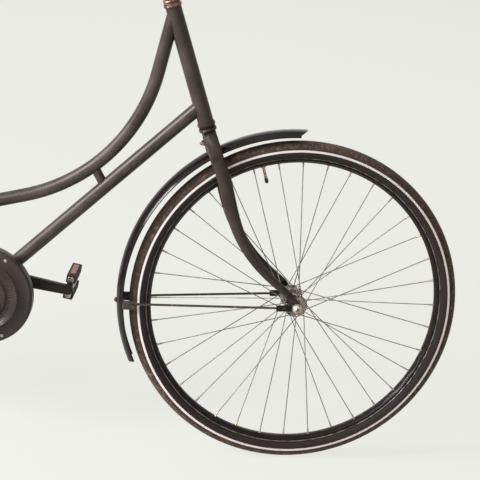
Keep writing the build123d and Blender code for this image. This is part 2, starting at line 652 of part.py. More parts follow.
# Rear mudguard and its stays, which end at the eyelets over the rear axle
with BuildPart() as rear_mudguard:
    add(guard_arc(REAR_HUB, REAR_GUARD_R, REAR_GUARD_HALF, -9.5, 196))
keep(rear_mudguard, "rear_mudguard")
REAR_STAY_ANGLES = [124, 172]
guard_edge_r = REAR_GUARD_R - GUARD_DROP
with BuildPart() as rear_guard_stays:
    for side in SIDES.values():
        eye = Vector(EYELET_X, side * (DROPOUT_Y + 5), EYELET_Z)
        for angle in REAR_STAY_ANGLES:
            out = Vector(math.cos(math.radians(angle)), 0, math.sin(math.radians(angle)))
            foot = REAR_HUB + out * (guard_edge_r - 4) + SIDEWAYS * (side * (REAR_GUARD_HALF + 1.5))
            add(rod(eye, foot, STAY_ROD_R))
            add(rod(foot - out * 5, foot + out * 5, STAY_ROD_R + 0.5))
        add(rod(eye - SIDEWAYS * 2.5, eye + SIDEWAYS * 2.5, 7.0))
    add(rear_mudguard.part, mode=Mode.SUBTRACT)
    add(rear_dropouts.part, mode=Mode.SUBTRACT)
keep(rear_guard_stays, "rear_guard_stays")

# Rear carrier: a tube loop with slats, and a pair of stays on each side
CARRIER_Z = 805.0
CARRIER_FRONT_X, CARRIER_BACK_X = -930.0, -1335.0
CARRIER_HALF = 60.0
CARRIER_R = 5.0
SLAT_R = 3.5
with BuildPart() as carrier_deck:
    loop = [
        (CARRIER_FRONT_X, CARRIER_HALF, CARRIER_Z),
        (CARRIER_BACK_X, CARRIER_HALF, CARRIER_Z),
        (CARRIER_BACK_X, -CARRIER_HALF, CARRIER_Z),
        (CARRIER_FRONT_X, -CARRIER_HALF, CARRIER_Z),
    ]
    add(bent_rod(loop, 38.0, CARRIER_R))
    for slat_x in (-950.0, -1045.0, -1140.0, -1235.0):
        add(rod((slat_x, -CARRIER_HALF, CARRIER_Z), (slat_x, CARRIER_HALF, CARRIER_Z), SLAT_R))
    for slat_y in (-20.0, 20.0):
        add(rod((-950.0, slat_y, CARRIER_Z), (CARRIER_BACK_X, slat_y, CARRIER_Z), SLAT_R - 1))
keep(carrier_deck, "carrier_deck")
with BuildPart() as carrier_stays:
    for side in SIDES.values():
        foot = Vector(EYELET_X, side * (DROPOUT_Y + 12), EYELET_Z)
        for top_x in (-1070.0, -1270.0):
            add(rod(foot, (top_x, side * CARRIER_HALF, CARRIER_Z), 4.5))
        add(rod(foot - SIDEWAYS * 4.5, foot + SIDEWAYS * 4.5, 7.0))
        strut_top = (CARRIER_FRONT_X - 4, side * CARRIER_HALF, CARRIER_Z)
        strut_foot = SEATSTAY_TOP + (Vector(SEATSTAY_END_X, 0, SEATSTAY_END_Z) - SEATSTAY_TOP) * 0.14
        add(rod(strut_top, strut_foot + SIDEWAYS * (side * 31), 4.0))
    add(carrier_deck.part, mode=Mode.SUBTRACT)
    add(rear_guard_stays.part, mode=Mode.SUBTRACT)
    for chainstay_part, seatstay_part in stays.values():
        add(seatstay_part, mode=Mode.SUBTRACT)
keep(carrier_stays, "carrier_stays")

# Reflector on the carrier's rear end
with BuildPart() as rear_reflector:
    with BuildSketch(Plane(origin=(CARRIER_BACK_X - CARRIER_R, 0, CARRIER_Z - 8), z_dir=(-1, 0, 0))):
        RectangleRounded(34, 92, 8)
    extrude(amount=9)
keep(rear_reflector, "rear_reflector")

# Coaster brake arm, clipped under the left chainstay
ARM_Y = 43.0
CLIP_SHARE = 0.72
stay_end = Vector(STAY_END_X, DROPOUT_Y, STAY_END_Z)
clip_at = BRACKET + SIDEWAYS * STAY_START_Y
clip_at = clip_at + (stay_end - clip_at) * CLIP_SHARE
clip_bolt_z = clip_at.Z - 12
with BuildPart() as brake_arm:
    add(plate([(REAR_HUB_X, REAR_HUB_Z, 17), (clip_at.X, clip_at.Z - 17, 7)], ARM_Y, 4.0))
    add(rod((clip_at.X, ARM_Y, clip_bolt_z), (clip_at.X, clip_at.Y + 8, clip_bolt_z), 3.5))
    add(rod(clip_at - Vector(6, 0, 0), clip_at + Vector(6, 0, 0), STAY_R + 1.5))
    add(stays["left"][0], mode=Mode.SUBTRACT)
    with BuildSketch(side_plane(0)):
        with Locations((REAR_HUB_X, REAR_HUB_Z)):
            Circle(SPACER_R + 0.2)
    extrude(amount=-100, mode=Mode.SUBTRACT)
keep(brake_arm, "brake_arm")

# Cranks with the pedal spindles, joined by the bracket spindle
crank_way = {
    "left": Vector(math.cos(math.radians(CRANK_ANGLE)), 0, math.sin(math.radians(CRANK_ANGLE))),
}
crank_way["right"] = crank_way["left"] * -1
with BuildPart() as crank_spindle:
    add(rod(BRACKET - SIDEWAYS * CRANK_INNER_Y, BRACKET + SIDEWAYS * CRANK_INNER_Y, SPINDLE_R))
keep(crank_spindle, "crank_spindle")
PEDAL_SPINDLE_R = 5.0
PEDAL_BORE_R = 5.5
PEDAL_HALF_WIDTH = 29.0
PEDAL_HALF_THICK = 11.0
PEDAL_PITCH = 83.0
for side_name, side in SIDES.items():
    eye = BRACKET + crank_way[side_name] * CRANK_LENGTH
    crank_low = side * (CRANK_INNER_Y + CRANK_THICK / 2) - CRANK_THICK / 2
    pedal_in = side * (CRANK_INNER_Y + CRANK_THICK + PEDAL_GAP)
    pedal_out = pedal_in + side * PEDAL_LENGTH
    with BuildPart() as crank:
        add(plate([(BRACKET_X, BRACKET_Z, 16), (eye.X, eye.Z, 11)], crank_low, CRANK_THICK))
        fillet(crank.edges().filter_by(Plane.XZ), radius=2.5)
        spindle_start = eye + SIDEWAYS * (side * CRANK_INNER_Y)
        add(rod(spindle_start, eye + SIDEWAYS * (pedal_out + side * 3), PEDAL_SPINDLE_R))
    keep(crank, f"crank_{side_name}")
    pitch = math.radians(PEDAL_PITCH)
    wide = Vector(math.cos(pitch), 0, math.sin(pitch))
    pedal_plane = Plane(origin=eye + SIDEWAYS * pedal_in, x_dir=wide, z_dir=(0, side, 0))
    with BuildPart() as pedal_cage:
        for foot_share in (0.0, 1.0):
            foot = foot_share * (PEDAL_LENGTH - 3)
            with BuildSketch(pedal_plane.offset(foot)):
                RectangleRounded(2 * PEDAL_HALF_WIDTH - 6, 2 * PEDAL_HALF_THICK - 8, 5)
            extrude(amount=3)
        with BuildSketch(pedal_plane):
            Circle(9)
        extrude(amount=PEDAL_LENGTH)
        with BuildSketch(pedal_plane.offset(-1)):
            Circle(PEDAL_BORE_R)
        extrude(amount=PEDAL_LENGTH + 2, mode=Mode.SUBTRACT)
    keep(pedal_cage, f"pedal_{side_name}_cage")
    with BuildPart() as pedal_blocks:
        with BuildSketch(pedal_plane.offset(3)):
            for way in (-1, 1):
                with Locations((way * (PEDAL_HALF_WIDTH - 9.5), 0)):
                    RectangleRounded(19, 2 * PEDAL_HALF_THICK, 4)
        extrude(amount=PEDAL_LENGTH - 6)
    keep(pedal_blocks, f"pedal_{side_name}_blocks")

# Rear stand: a bent tube that straddles the wheel and turns about the rear axle
EYE_IN_Y, EYE_OUT_Y = 64.5, 69.0
LEG_TOP_Y = 71.0
LEG_START = 26.0
stand_lean = math.acos((REAR_HUB_Z - STAND_ROD_R) / STAND_REACH)
stand_way = Vector(math.sin(stand_lean), 0, -math.cos(stand_lean))
stand_foot = REAR_HUB + stand_way * STAND_REACH
eye_tip = REAR_HUB + stand_way * 34
with BuildPart() as stand:
    leg_top = REAR_HUB + stand_way * LEG_START
    points = [
        leg_top + SIDEWAYS * LEG_TOP_Y,
        stand_foot + SIDEWAYS * STAND_FOOT_Y,
        stand_foot - SIDEWAYS * STAND_FOOT_Y,
        leg_top - SIDEWAYS * LEG_TOP_Y,
    ]
    add(bent_rod(points, 30.0, STAND_ROD_R))
    for side in SIDES.values():
        eye_low = side * (EYE_IN_Y + EYE_OUT_Y) / 2 - (EYE_OUT_Y - EYE_IN_Y) / 2
        add(plate([(REAR_HUB_X, REAR_HUB_Z, 14), (eye_tip.X, eye_tip.Z, 8)], eye_low, EYE_OUT_Y - EYE_IN_Y))
    with BuildSketch(side_plane(-EYE_OUT_Y - 10)):
        with Locations((REAR_HUB_X, REAR_HUB_Z)):
            Circle(AXLE_R + 0.6)
    extrude(amount=-2 * (EYE_OUT_Y + 10), mode=Mode.SUBTRACT)
keep(stand, "stand")
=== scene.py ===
# %% [markdown]
# # Dressing a step-through bicycle
# The bicycle's solids come from a CAD model and stay where they are. This lesson smooths
# them, adds what a CAD model leaves out (nipples, bolts, rolled edges, springs, tread) and
# gives every part the finish of the real one. Pieces are sized in millimetres in the
# bicycle's own coordinates: X forward, Y left, Z up, from under the front hub.

# %% Load the model and note its size
import json
from math import asin, atan2, cos, degrees, exp, hypot, pi, radians, sin

import bpy
from mathutils import Matrix, Vector

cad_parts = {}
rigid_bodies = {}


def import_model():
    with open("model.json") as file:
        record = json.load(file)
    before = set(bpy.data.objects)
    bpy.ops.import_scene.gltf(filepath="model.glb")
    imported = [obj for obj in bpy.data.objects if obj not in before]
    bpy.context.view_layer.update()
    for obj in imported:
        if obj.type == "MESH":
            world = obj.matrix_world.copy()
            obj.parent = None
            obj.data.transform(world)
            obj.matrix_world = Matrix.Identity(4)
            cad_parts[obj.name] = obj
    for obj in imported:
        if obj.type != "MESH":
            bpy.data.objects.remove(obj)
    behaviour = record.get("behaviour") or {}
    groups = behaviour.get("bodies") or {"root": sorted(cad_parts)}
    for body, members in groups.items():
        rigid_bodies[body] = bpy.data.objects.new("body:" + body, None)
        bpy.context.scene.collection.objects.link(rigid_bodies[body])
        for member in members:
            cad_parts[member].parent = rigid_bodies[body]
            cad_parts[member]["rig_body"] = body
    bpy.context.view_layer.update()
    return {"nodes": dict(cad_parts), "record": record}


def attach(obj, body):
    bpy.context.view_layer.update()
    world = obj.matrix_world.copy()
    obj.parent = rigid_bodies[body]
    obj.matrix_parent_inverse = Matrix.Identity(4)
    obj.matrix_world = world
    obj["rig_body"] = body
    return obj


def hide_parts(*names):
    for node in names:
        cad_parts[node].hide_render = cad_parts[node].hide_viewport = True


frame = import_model()
slot_of = {part["node"]: part["material_slot"] for part in frame["record"]["subparts"]}
body_of = {name: solid["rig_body"] for name, solid in frame["nodes"].items()}

# %% [markdown]
# ## Where things are
# The same values as the CAD model's. The bars are turned a little, as on a parked bicycle,
# so each piece on the steering is modelled straight ahead and then turned with it.

# %% The bicycle's main points
MM = 0.001
STANCE = Vector((588.3, 19.8, 0.0)) * MM
STEER_ANGLE = radians(13.0)
LEAN = radians(70.0)
AXIS_UP = Vector((-cos(LEAN), 0.0, sin(LEAN)))
AXIS_AHEAD = Vector((sin(LEAN), 0.0, cos(LEAN)))
FRONT_HUB = Vector((0.0, 0.0, 358.683))
REAR_HUB = Vector((-1146.0, 0.0, 384.0))
BRACKET = Vector((-676.0, 0.0, 315.0))
AXIS_FOOT = FRONT_HUB - AXIS_AHEAD * 78.0
SIDEWAYS = Vector((0.0, 1.0, 0.0))
UP = Vector((0.0, 0.0, 1.0))
TYRE_CENTRE_R = 337.5
TYRE_SECTION_R = 21.5
RIM_OUTER_R = 322.5
RIM_INNER_R = 312.0

straight = Matrix.Translation(STANCE)
foot = AXIS_FOOT * MM
turned_bars = Matrix.Rotation(STEER_ANGLE, 4, AXIS_UP)
steered = straight @ Matrix.Translation(foot) @ turned_bars @ Matrix.Translation(-foot)
PLACES = {"steering": steered, "front_wheel": steered}


def on_axis(height):
    """The point of the steering axis at a height, in millimetres."""
    return AXIS_FOOT + AXIS_UP * ((height - AXIS_FOOT.z) / AXIS_UP.z)


print("steering axis meets the ground at x =", round(on_axis(0).x))

# %% [markdown]
# ## The camera
# The photograph was taken from the bicycle's right, a little above it, with a long lens
# and the camera rolled slightly. The place and the focal length were fitted to points of
# the wheel and the frame.

# %% Set the camera
def in_scene(name, data):
    """A new object in the scene that shows this data."""
    thing = bpy.data.objects.new(name, data)
    bpy.context.scene.collection.objects.link(thing)
    return thing


AIM = Vector((0.4595, 0.0198, 0.4902))
VIEW_DISTANCE = 4.740
VIEW_LENS = 164.8
view_yaw, view_rise, view_roll = radians(4.17), radians(20.14), radians(5.22)
back = Vector((
    sin(view_yaw) * cos(view_rise),
    -cos(view_yaw) * cos(view_rise),
    sin(view_rise),
))
level_right = (-back).cross(UP).normalized()
level_up = back.cross(level_right)
right = level_right * cos(view_roll) + level_up * sin(view_roll)
upward = level_up * cos(view_roll) - level_right * sin(view_roll)
eye = AIM + back * VIEW_DISTANCE
camera_data = bpy.data.cameras.new("camera")
camera_data.lens = VIEW_LENS
camera_data.sensor_width = 36.0
camera_data.clip_end = 60.0
camera = in_scene("camera", camera_data)
camera.matrix_world = Matrix.Translation(eye) @ Matrix((right, upward, back)).transposed().to_4x4()
bpy.context.scene.camera = camera
print("camera stands", round(eye.length, 2), "m from the origin")

# %% [markdown]
# ## Colours and nodes
# Blender works with linear light, and colours read off a screen are sRGB, so one function
# converts them. Another adds a node with its settings and links, and a third builds the
# part that most finishes share: broad patches of tone, a fine grain in the surface and a
# gloss that changes from place to place.

# %% Helpers for materials
def linear(hex_colour):
    """An sRGB hex colour as linear red, green, blue and alpha."""
    parts = [int(hex_colour[at:at + 2], 16) / 255 for at in (1, 3, 5)]
    return [p / 12.92 if p <= 0.04045 else ((p + 0.055) / 1.055) ** 2.4 for p in parts] + [1.0]


def add_node(material, kind, settings=None, links=None):
    """Adds a node, sets its sockets or properties, and links outputs into its sockets."""
    node = material.node_tree.nodes.new(kind)
    for name, value in (settings or {}).items():
        if name in node.inputs:
            node.inputs[name].default_value = value
        else:
            setattr(node, name, value)
    for name, output in (links or {}).items():
        material.node_tree.links.new(output, node.inputs[name])
    return node


def ramp(material, source, stops):
    """Colours a 0 to 1 value by stops of (place, hex colour)."""
    node = add_node(material, "ShaderNodeValToRGB", links={"Fac": source})
    slots = node.color_ramp.elements
    while len(slots) < len(stops):
        slots.new(0.5)
    for element, (place, colour) in zip(slots, stops):
        element.position = place
        element.color = linear(colour)
    return node.outputs["Color"]


# The parts of the noise's 0 to 1 over which tone, gloss and specks change
TONE_FROM, TONE_TO = 0.36, 0.66
GLOSS_FROM, GLOSS_TO = 0.35, 0.65
SPECK_EDGE = 0.07
SPECK_MM = 7.0
COAT_ROUGHNESS = 0.12
GRAIN_STRENGTH = 0.6


def finish(
    name, dark, light, patch_mm, grain_mm, depth_mm, gloss,
    metal=0.0, coat=0.0, dirt=None, mirror=0.5,
):
    """A surface with patches of tone, grain and uneven gloss, and specks of dirt if given.

    Dirt is a colour and the noise from which its specks start: a higher one leaves fewer.
    Clean paint has a mirror of 0.5, and paint under a film of dust has less.
    """
    material = bpy.data.materials.new(name)
    material.use_nodes = True
    links = material.node_tree.links
    shader = material.node_tree.nodes["Principled BSDF"]
    shader.inputs["Metallic"].default_value = metal
    shader.inputs["Coat Weight"].default_value = coat
    shader.inputs["Coat Roughness"].default_value = COAT_ROUGHNESS
    shader.inputs["Specular IOR Level"].default_value = mirror
    where = {"Vector": add_node(material, "ShaderNodeTexCoord").outputs["Object"]}
    broad = {"Scale": 1000 / patch_mm, "Detail": 6.0}
    fine = {"Scale": 1000 / grain_mm, "Detail": 3.0}
    patches = add_node(material, "ShaderNodeTexNoise", broad, where)
    grain = add_node(material, "ShaderNodeTexNoise", fine, where)
    colour = ramp(material, patches.outputs["Fac"], [(TONE_FROM, dark), (TONE_TO, light)])
    if dirt:
        speckled = {"Scale": 1000 / SPECK_MM, "Detail": 8.0, "Roughness": 0.7}
        specks = add_node(material, "ShaderNodeTexNoise", speckled, where)
        edge = {"From Min": dirt[1], "From Max": dirt[1] + SPECK_EDGE}
        share = add_node(material, "ShaderNodeMapRange", edge, {"Value": specks.outputs["Fac"]})
        mix = add_node(material, "ShaderNodeMix", {"data_type": "RGBA"})
        mix.inputs[7].default_value = linear(dirt[0])
        links.new(share.outputs["Result"], mix.inputs["Factor"])
        links.new(colour, mix.inputs[6])
        colour = mix.outputs[2]
    links.new(colour, shader.inputs["Base Color"])
    spread = {"From Min": GLOSS_FROM, "From Max": GLOSS_TO, "To Min": gloss[0], "To Max": gloss[1]}
    rough = add_node(material, "ShaderNodeMapRange", spread, {"Value": patches.outputs["Fac"]})
    links.new(rough.outputs["Result"], shader.inputs["Roughness"])
    relief = {"Strength": GRAIN_STRENGTH, "Distance": depth_mm * MM}
    bump = add_node(material, "ShaderNodeBump", relief, {"Height": grain.outputs["Fac"]})
    links.new(bump.outputs["Normal"], shader.inputs["Normal"])
    return material


# %% [markdown]
# ## The finishes
# The frame is brushed-on enamel that has gone matt and slightly brown. The mudguards are
# glossy stove enamel, so they carry the lamps as sharp patches. Bright parts are chromed or
# zinc-plated steel with a bloom of rust. A rubber tyre greys and picks up road dust.
# Each call gives the material's name, its darker and lighter tone, the size in millimetres
# of its patches and its grain, the grain's depth and the range of its roughness.

# %% Make the finishes
FINISHES = {
    # Brushed on and gone matt: broad, soft highlights
    "frame_paint": finish(
        "matt_black_enamel", "#362e2c", "#4b403d", 60, 2.5, 0.015, (0.33, 0.42),
        dirt=("#827169", 0.69), mirror=0.22,
    ),
    # Baked hard and glossy: the lamps show in it as sharp patches
    "guard_paint": finish(
        "gloss_stove_enamel", "#120e0c", "#1a1515", 90, 4.0, 0.02, (0.1, 0.18),
        dirt=("#6b574c", 0.73), mirror=0.18,
    ),
    # Sprayed on pressed sheet: half gloss, a little wavy
    "case_shell": finish(
        "pressed_sheet_enamel", "#28201f", "#382f2d", 70, 2.0, 0.03, (0.26, 0.38),
        dirt=("#7c6a60", 0.71), mirror=0.3,
    ),
    # Black on a rolled rim that no brake rubs: darker than the frame
    "rim_paint": finish(
        "rolled_rim_enamel", "#161110", "#1f1918", 50, 1.5, 0.03, (0.3, 0.42),
        dirt=("#6c574c", 0.71), mirror=0.15,
    ),
    # Over the rough skin of a forging, so it looks duller
    "crank_paint": finish(
        "forged_crank_enamel", "#211d1b", "#2f2827", 40, 1.5, 0.05, (0.35, 0.5),
        dirt=("#806a5c", 0.66), mirror=0.2,
    ),
    # Plated in a bath and weathered: grey, with brown spots
    "bright_steel": finish(
        "zinc_plated_steel", "#8f8682", "#bdb4ae", 25, 0.8, 0.03, (0.28, 0.45),
        metal=1.0, dirt=("#7a4a2e", 0.62),
    ),
    # Polished before plating: a clear mirror with a few pits
    "chrome": finish(
        "chromed_steel", "#c4bcb8", "#e2dcd8", 40, 6.0, 0.004, (0.08, 0.16),
        metal=1.0, dirt=("#8a6a58", 0.8),
    ),
    # Moulded soft: no highlight to speak of
    "grip_rubber": finish("moulded_grip_rubber", "#222020", "#322f2f", 12, 0.6, 0.08, (0.6, 0.75)),
    # The same, brown with street dust
    "pedal_rubber": finish(
        "moulded_pedal_rubber", "#2d2323", "#453836", 18, 0.7, 0.1, (0.6, 0.8),
        dirt=("#a18977", 0.64), mirror=0.25,
    ),
    # Embossed with a leather grain, polished by use
    "saddle_cover": finish("saddle_vinyl", "#232020", "#342f2e", 30, 1.4, 0.18, (0.38, 0.52)),
    # Clear plastic over prisms: deep red under a bright skin
    "red_lens": finish(
        "moulded_red_lens", "#8e0f0f", "#b81a16", 12, 1.0, 0.02, (0.08, 0.15), coat=0.5
    ),
    # Scratched by shoes, so its orange is dull
    "amber": finish(
        "moulded_amber_lens", "#8a401a", "#b05c28", 8, 1.0, 0.02, (0.25, 0.4), mirror=0.3
    ),
    # Pale and satin, half covered by grime; the pale colour is partly the plating's own and partly
    # a painted reflection, the nut's bright shine
    "nut_plate_and_painted_shine": finish(
        "zinc_nut_plating_and_painted_shine", "#b5a79e", "#ddd0c8", 8, 0.8, 0.03, (0.3, 0.45),
        metal=0.45, dirt=("#8a5a3c", 0.66),
    ),
    # Bare steel gone to scale: rough and orange brown
    "rust": finish("rusted_steel", "#6b3f28", "#a0673f", 5, 0.6, 0.15, (0.6, 0.85), metal=0.3),
    # Turned and never polished again: brown gold
    "brass": finish("tarnished_brass", "#8d6c50", "#b8977a", 6, 0.7, 0.03, (0.25, 0.42), metal=1.0),
    # Plating that rust has stained through
    "old_cup": finish(
        "browned_plating", "#4c3a33", "#84695e", 10, 0.8, 0.04, (0.32, 0.5),
        metal=0.8, dirt=("#6b4430", 0.6),
    ),
    # Drawn through a die and dulled: an even grey line
    "spoke": finish(
        "drawn_spoke_wire", "#7f7774", "#a39b97", 30, 4.0, 0.001, (0.56, 0.66), metal=0.7
    ),
    # Nickel worn through to brass: a pinkish dot at each spoke's end
    "nipple_plate": finish(
        "nickelled_brass", "#937668", "#c3aa9c", 5, 0.6, 0.02, (0.3, 0.45), metal=0.8
    ),
    # Chrome under old grease
    "hub_shell": finish(
        "pinkish_chrome", "#766b67", "#ac9f99", 16, 3.0, 0.02, (0.24, 0.36),
        metal=1.0, dirt=("#7d5038", 0.68),
    ),
    # Dipped, thin and chipped: black wire freckled with rust
    "stay_enamel": finish(
        "dipped_stay_enamel", "#2e2727", "#453935", 30, 1.0, 0.04, (0.35, 0.5),
        dirt=("#906a50", 0.58),
    ),
    # A paler colour on the rim's rolled bead, a painted highlight: a thin paler line
    "rim_edge_painted_highlight": finish(
        "rim_bead_painted_highlight", "#4a403d", "#8a7f7a", 14, 0.8, 0.03, (0.3, 0.5), metal=0.5
    ),
    # Small and moulded: plain black
    "cap_plastic": finish("valve_cap_plastic", "#141212", "#1e1c1c", 5, 0.5, 0.02, (0.35, 0.45)),
    # The frame's enamel, a little darker: painted shade on the fork and its crown
    "fork_painted_shade": finish(
        "matt_black_fork_enamel_painted_shade", "#2c2322", "#3f3632", 60, 2.5, 0.015, (0.33, 0.42),
        dirt=("#827169", 0.69), mirror=0.22,
    ),
}
print(len(FINISHES), "finishes")

# %% [markdown]
# The tyre's finish follows the tyre round, so it reads a UV map: U runs round the wheel and
# V across the section, from the outside of the tread at 0.5 to the beads at 0 and 1. The
# pale line moulded into the sidewall is a band of V, and the tread is greyer and dustier
# than the wall. Tread blocks are about 6 mm long.

# %% The tyre's finish
TREAD_REPEATS = 360
TREAD_ROWS = 26.0
TREAD_DEPTH = 0.6
DUST_MM = 9.0
STRIPE_MIDDLE = 0.272
STRIPE_HALF = 0.0155
STRIPE_EDGE = 0.004
WALL_INNER, WALL_OUTER, STRIPE_RUBBER = "#2a2221", "#322927", "#f0e4df"
BEAD_RUBBER, SHOULDER_RUBBER, TREAD_RUBBER = "#231d1b", "#3f342f", "#605149"
material = bpy.data.materials.new("vulcanised_tyre_rubber")
material.use_nodes = True
shader = material.node_tree.nodes["Principled BSDF"]
links = material.node_tree.links
flat = add_node(material, "ShaderNodeUVMap", {"uv_map": "round_the_tyre"}).outputs["UV"]
split = add_node(material, "ShaderNodeSeparateXYZ", links={"Vector": flat})
where = add_node(material, "ShaderNodeTexCoord").outputs["Object"]
inner, outer = STRIPE_MIDDLE - STRIPE_HALF, STRIPE_MIDDLE + STRIPE_HALF
one_wall = [
    (0.0, BEAD_RUBBER),
    (inner, WALL_INNER),
    (inner + STRIPE_EDGE, STRIPE_RUBBER),
    (outer, STRIPE_RUBBER),
    (outer + STRIPE_EDGE, WALL_OUTER),
    (0.33, SHOULDER_RUBBER),
]
other_wall = [
    (0.67, SHOULDER_RUBBER),
    (1 - outer - STRIPE_EDGE, WALL_OUTER),
    (1 - outer, STRIPE_RUBBER),
    (1 - inner, STRIPE_RUBBER),
    (1 - inner + STRIPE_EDGE, WALL_INNER),
    (1.0, BEAD_RUBBER),
]
bands = ramp(material, split.outputs["Y"], [*one_wall, (0.5, TREAD_RUBBER), *other_wall])
dusting = {"Scale": 1000 / DUST_MM, "Detail": 9.0, "Roughness": 0.75}
dust = add_node(material, "ShaderNodeTexNoise", dusting, {"Vector": where})
edge = {"From Min": 0.5, "From Max": 0.64, "To Max": 0.8}
share = add_node(material, "ShaderNodeMapRange", edge, {"Value": dust.outputs["Fac"]})
mask = [(0.29, "#101010"), (0.34, "#ffffff"), (0.66, "#ffffff"), (0.71, "#101010")]
on_tread = ramp(material, split.outputs["Y"], mask)
product = {0: share.outputs["Result"], 1: on_tread}
dusty = add_node(material, "ShaderNodeMath", {"operation": "MULTIPLY"}, product)
mix = add_node(material, "ShaderNodeMix", {"data_type": "RGBA"})
mix.inputs[7].default_value = linear("#946d55")
links.new(dusty.outputs["Value"], mix.inputs["Factor"])
links.new(bands, mix.inputs[6])
links.new(mix.outputs[2], shader.inputs["Base Color"])
repeats = {"Scale": (TREAD_REPEATS, TREAD_ROWS, 1.0)}
stretch = add_node(material, "ShaderNodeMapping", repeats, {"Vector": flat})
cells = {"Scale": 1.0, "Randomness": 0.15}
stretched = {"Vector": stretch.outputs["Vector"]}
blocks = add_node(material, "ShaderNodeTexVoronoi", cells, stretched)
relief = {"Strength": 0.5, "Distance": TREAD_DEPTH * MM}
bump = add_node(material, "ShaderNodeBump", relief, {"Height": blocks.outputs["Distance"]})
links.new(bump.outputs["Normal"], shader.inputs["Normal"])
shader.inputs["Roughness"].default_value = 0.72
shader.inputs["Specular IOR Level"].default_value = 0.25
FINISHES["tyre"] = material
print("tyre finish with", TREAD_REPEATS, "blocks round")

# %% [markdown]
# ## Floor and light
# The background is even and pale, as in a product photograph. The floor and the world show
# that colour to the rays that look at them, and the floor also takes a part of the light,
# so it keeps a soft shadow. One lamp stands like a window behind the rear wheel, on the
# camera's side, and draws the long highlights on the tubes. Two weaker ones stand on the
# far side and the near side, and a very wide sun fills the rest evenly.

# %% Floor, world and lamps
FLOOR_GLOW = "#EFF0EA"
FAR_WALL = "#E8E9E3"
PAPER_SHARE = 0.88
PAPER, SKY = "#d6d6d0", "#dfe2e4"
SKY_LIGHT = 0.18
FLOOR_SIZE, FLOOR_DEPTH = 40.0, 0.0005
SUN_POWER, SUN_WIDTH = 0.4, 1.2
LAMPS_AIM = Vector((0.2, 0.0, 0.5))


def show_backdrop(owner, output, lit, shown, share):
    """Lights the bicycle by one shader and shows another where the backdrop is looked at.

    It is looked at by rays from the camera, off a glossy surface or through a clear one.
    """
    path = add_node(owner, "ShaderNodeLightPath").outputs
    seen = path["Is Camera Ray"]
    for kind in ("Is Glossy Ray", "Is Transmission Ray"):
        pair = {0: seen, 1: path[kind]}
        seen = add_node(owner, "ShaderNodeMath", {"operation": "MAXIMUM"}, pair).outputs["Value"]
    part = add_node(owner, "ShaderNodeMath", {"operation": "MULTIPLY"}, {0: seen})
    part.inputs[1].default_value = share
    both = {"Fac": part.outputs["Value"], 1: lit.outputs[0], 2: shown.outputs[0]}
    blend = add_node(owner, "ShaderNodeMixShader", links=both)
    surface = owner.node_tree.nodes[output].inputs["Surface"]
    owner.node_tree.links.new(blend.outputs["Shader"], surface)


bpy.context.scene.view_settings.view_transform = "Standard"
bpy.ops.object.select_all(action="DESELECT")
bpy.ops.mesh.primitive_plane_add(size=FLOOR_SIZE, location=(0.0, 0.0, -FLOOR_DEPTH))
floor = bpy.context.object
floor.name = "floor"
floor_look = bpy.data.materials.new("seamless_paper")
floor_look.use_nodes = True
paper = floor_look.node_tree.nodes["Principled BSDF"]
paper.inputs["Base Color"].default_value = linear(PAPER)
paper.inputs["Roughness"].default_value = 0.9
glow = add_node(floor_look, "ShaderNodeEmission", {"Color": linear(FLOOR_GLOW)})
show_backdrop(floor_look, "Material Output", paper, glow, PAPER_SHARE)
floor.data.materials.append(floor_look)

world = bpy.data.worlds.new("studio")
world.use_nodes = True
sky = world.node_tree.nodes["Background"]
sky.inputs["Color"].default_value = linear(SKY)
sky.inputs["Strength"].default_value = SKY_LIGHT
far = add_node(world, "ShaderNodeBackground", {"Color": linear(FAR_WALL), "Strength": 1.0})
show_backdrop(world, "World Output", sky, far, 1.0)
bpy.context.scene.world = world

# Columns: name, place, size, power in watts
LAMPS = [
    ("window_lamp", (-2.8, -1.4, 2.2), 1.5, 255.0),
    ("back_lamp", (0.2, 3.4, 2.2), 2.6, 20.0),
    ("front_lamp", (-1.3, -3.2, 2.7), 1.0, 50.0),
]
for name, spot, size, power in LAMPS:
    lamp_data = bpy.data.lights.new(name, "AREA")
    lamp_data.size = size
    lamp_data.energy = power
    lamp = in_scene(name, lamp_data)
    lamp.location = spot
    lamp.rotation_euler = (LAMPS_AIM - Vector(spot)).to_track_quat("-Z", "Y").to_euler()
even_data = bpy.data.lights.new("even_light", "SUN")
even_data.energy = SUN_POWER
even_data.angle = SUN_WIDTH
even = in_scene("even_light", even_data)
even.rotation_euler = (radians(12.0), radians(-14.0), 0.0)
print(len(LAMPS), "lamps")

# %% [markdown]
# ## Tools for shaping
# Most small parts of a bicycle are turned, drawn or bent: nuts, hubs, tyres and wires. So
# one vertex is extruded along a line, and that line is either spun round an axis or given a
# round section. A finished piece gets its place in its mesh and rides with its body.

# %% Helpers for pieces
def fresh():
    """Leaves edit mode and selects nothing."""
    if bpy.context.object and bpy.context.object.mode != "OBJECT":
        bpy.ops.object.mode_set(mode="OBJECT")
    bpy.ops.object.select_all(action="DESELECT")


def edit_all():
    """Enters edit mode, if it is not on, and selects everything."""
    bpy.ops.object.mode_set(mode="EDIT")
    bpy.ops.mesh.select_all(action="SELECT")


def only(piece):
    """Selects one piece and makes it the active one."""
    fresh()
    piece.select_set(True)
    bpy.context.view_layer.objects.active = piece


def modified(piece, kind, settings):
    """Applies a modifier with these settings to the active piece."""
    modifier = piece.modifiers.new(kind.lower(), kind)
    for name, value in settings.items():
        setattr(modifier, name, value)
    bpy.ops.object.modifier_apply(modifier=modifier.name)


def chain(name, spots):
    """One vertex extruded from spot to spot, in millimetres, left in edit mode."""
    fresh()
    bpy.ops.mesh.primitive_circle_add(vertices=3, radius=MM)
    piece = bpy.context.object
    piece.name = name
    edit_all()
    bpy.ops.mesh.merge(type="CENTER")
    line = [Vector(spot) * MM for spot in spots]
    bpy.ops.transform.translate(value=line[0])
    for start, end in zip(line, line[1:]):
        bpy.ops.mesh.extrude_region_move(TRANSFORM_OT_translate={"value": end - start})
    return piece


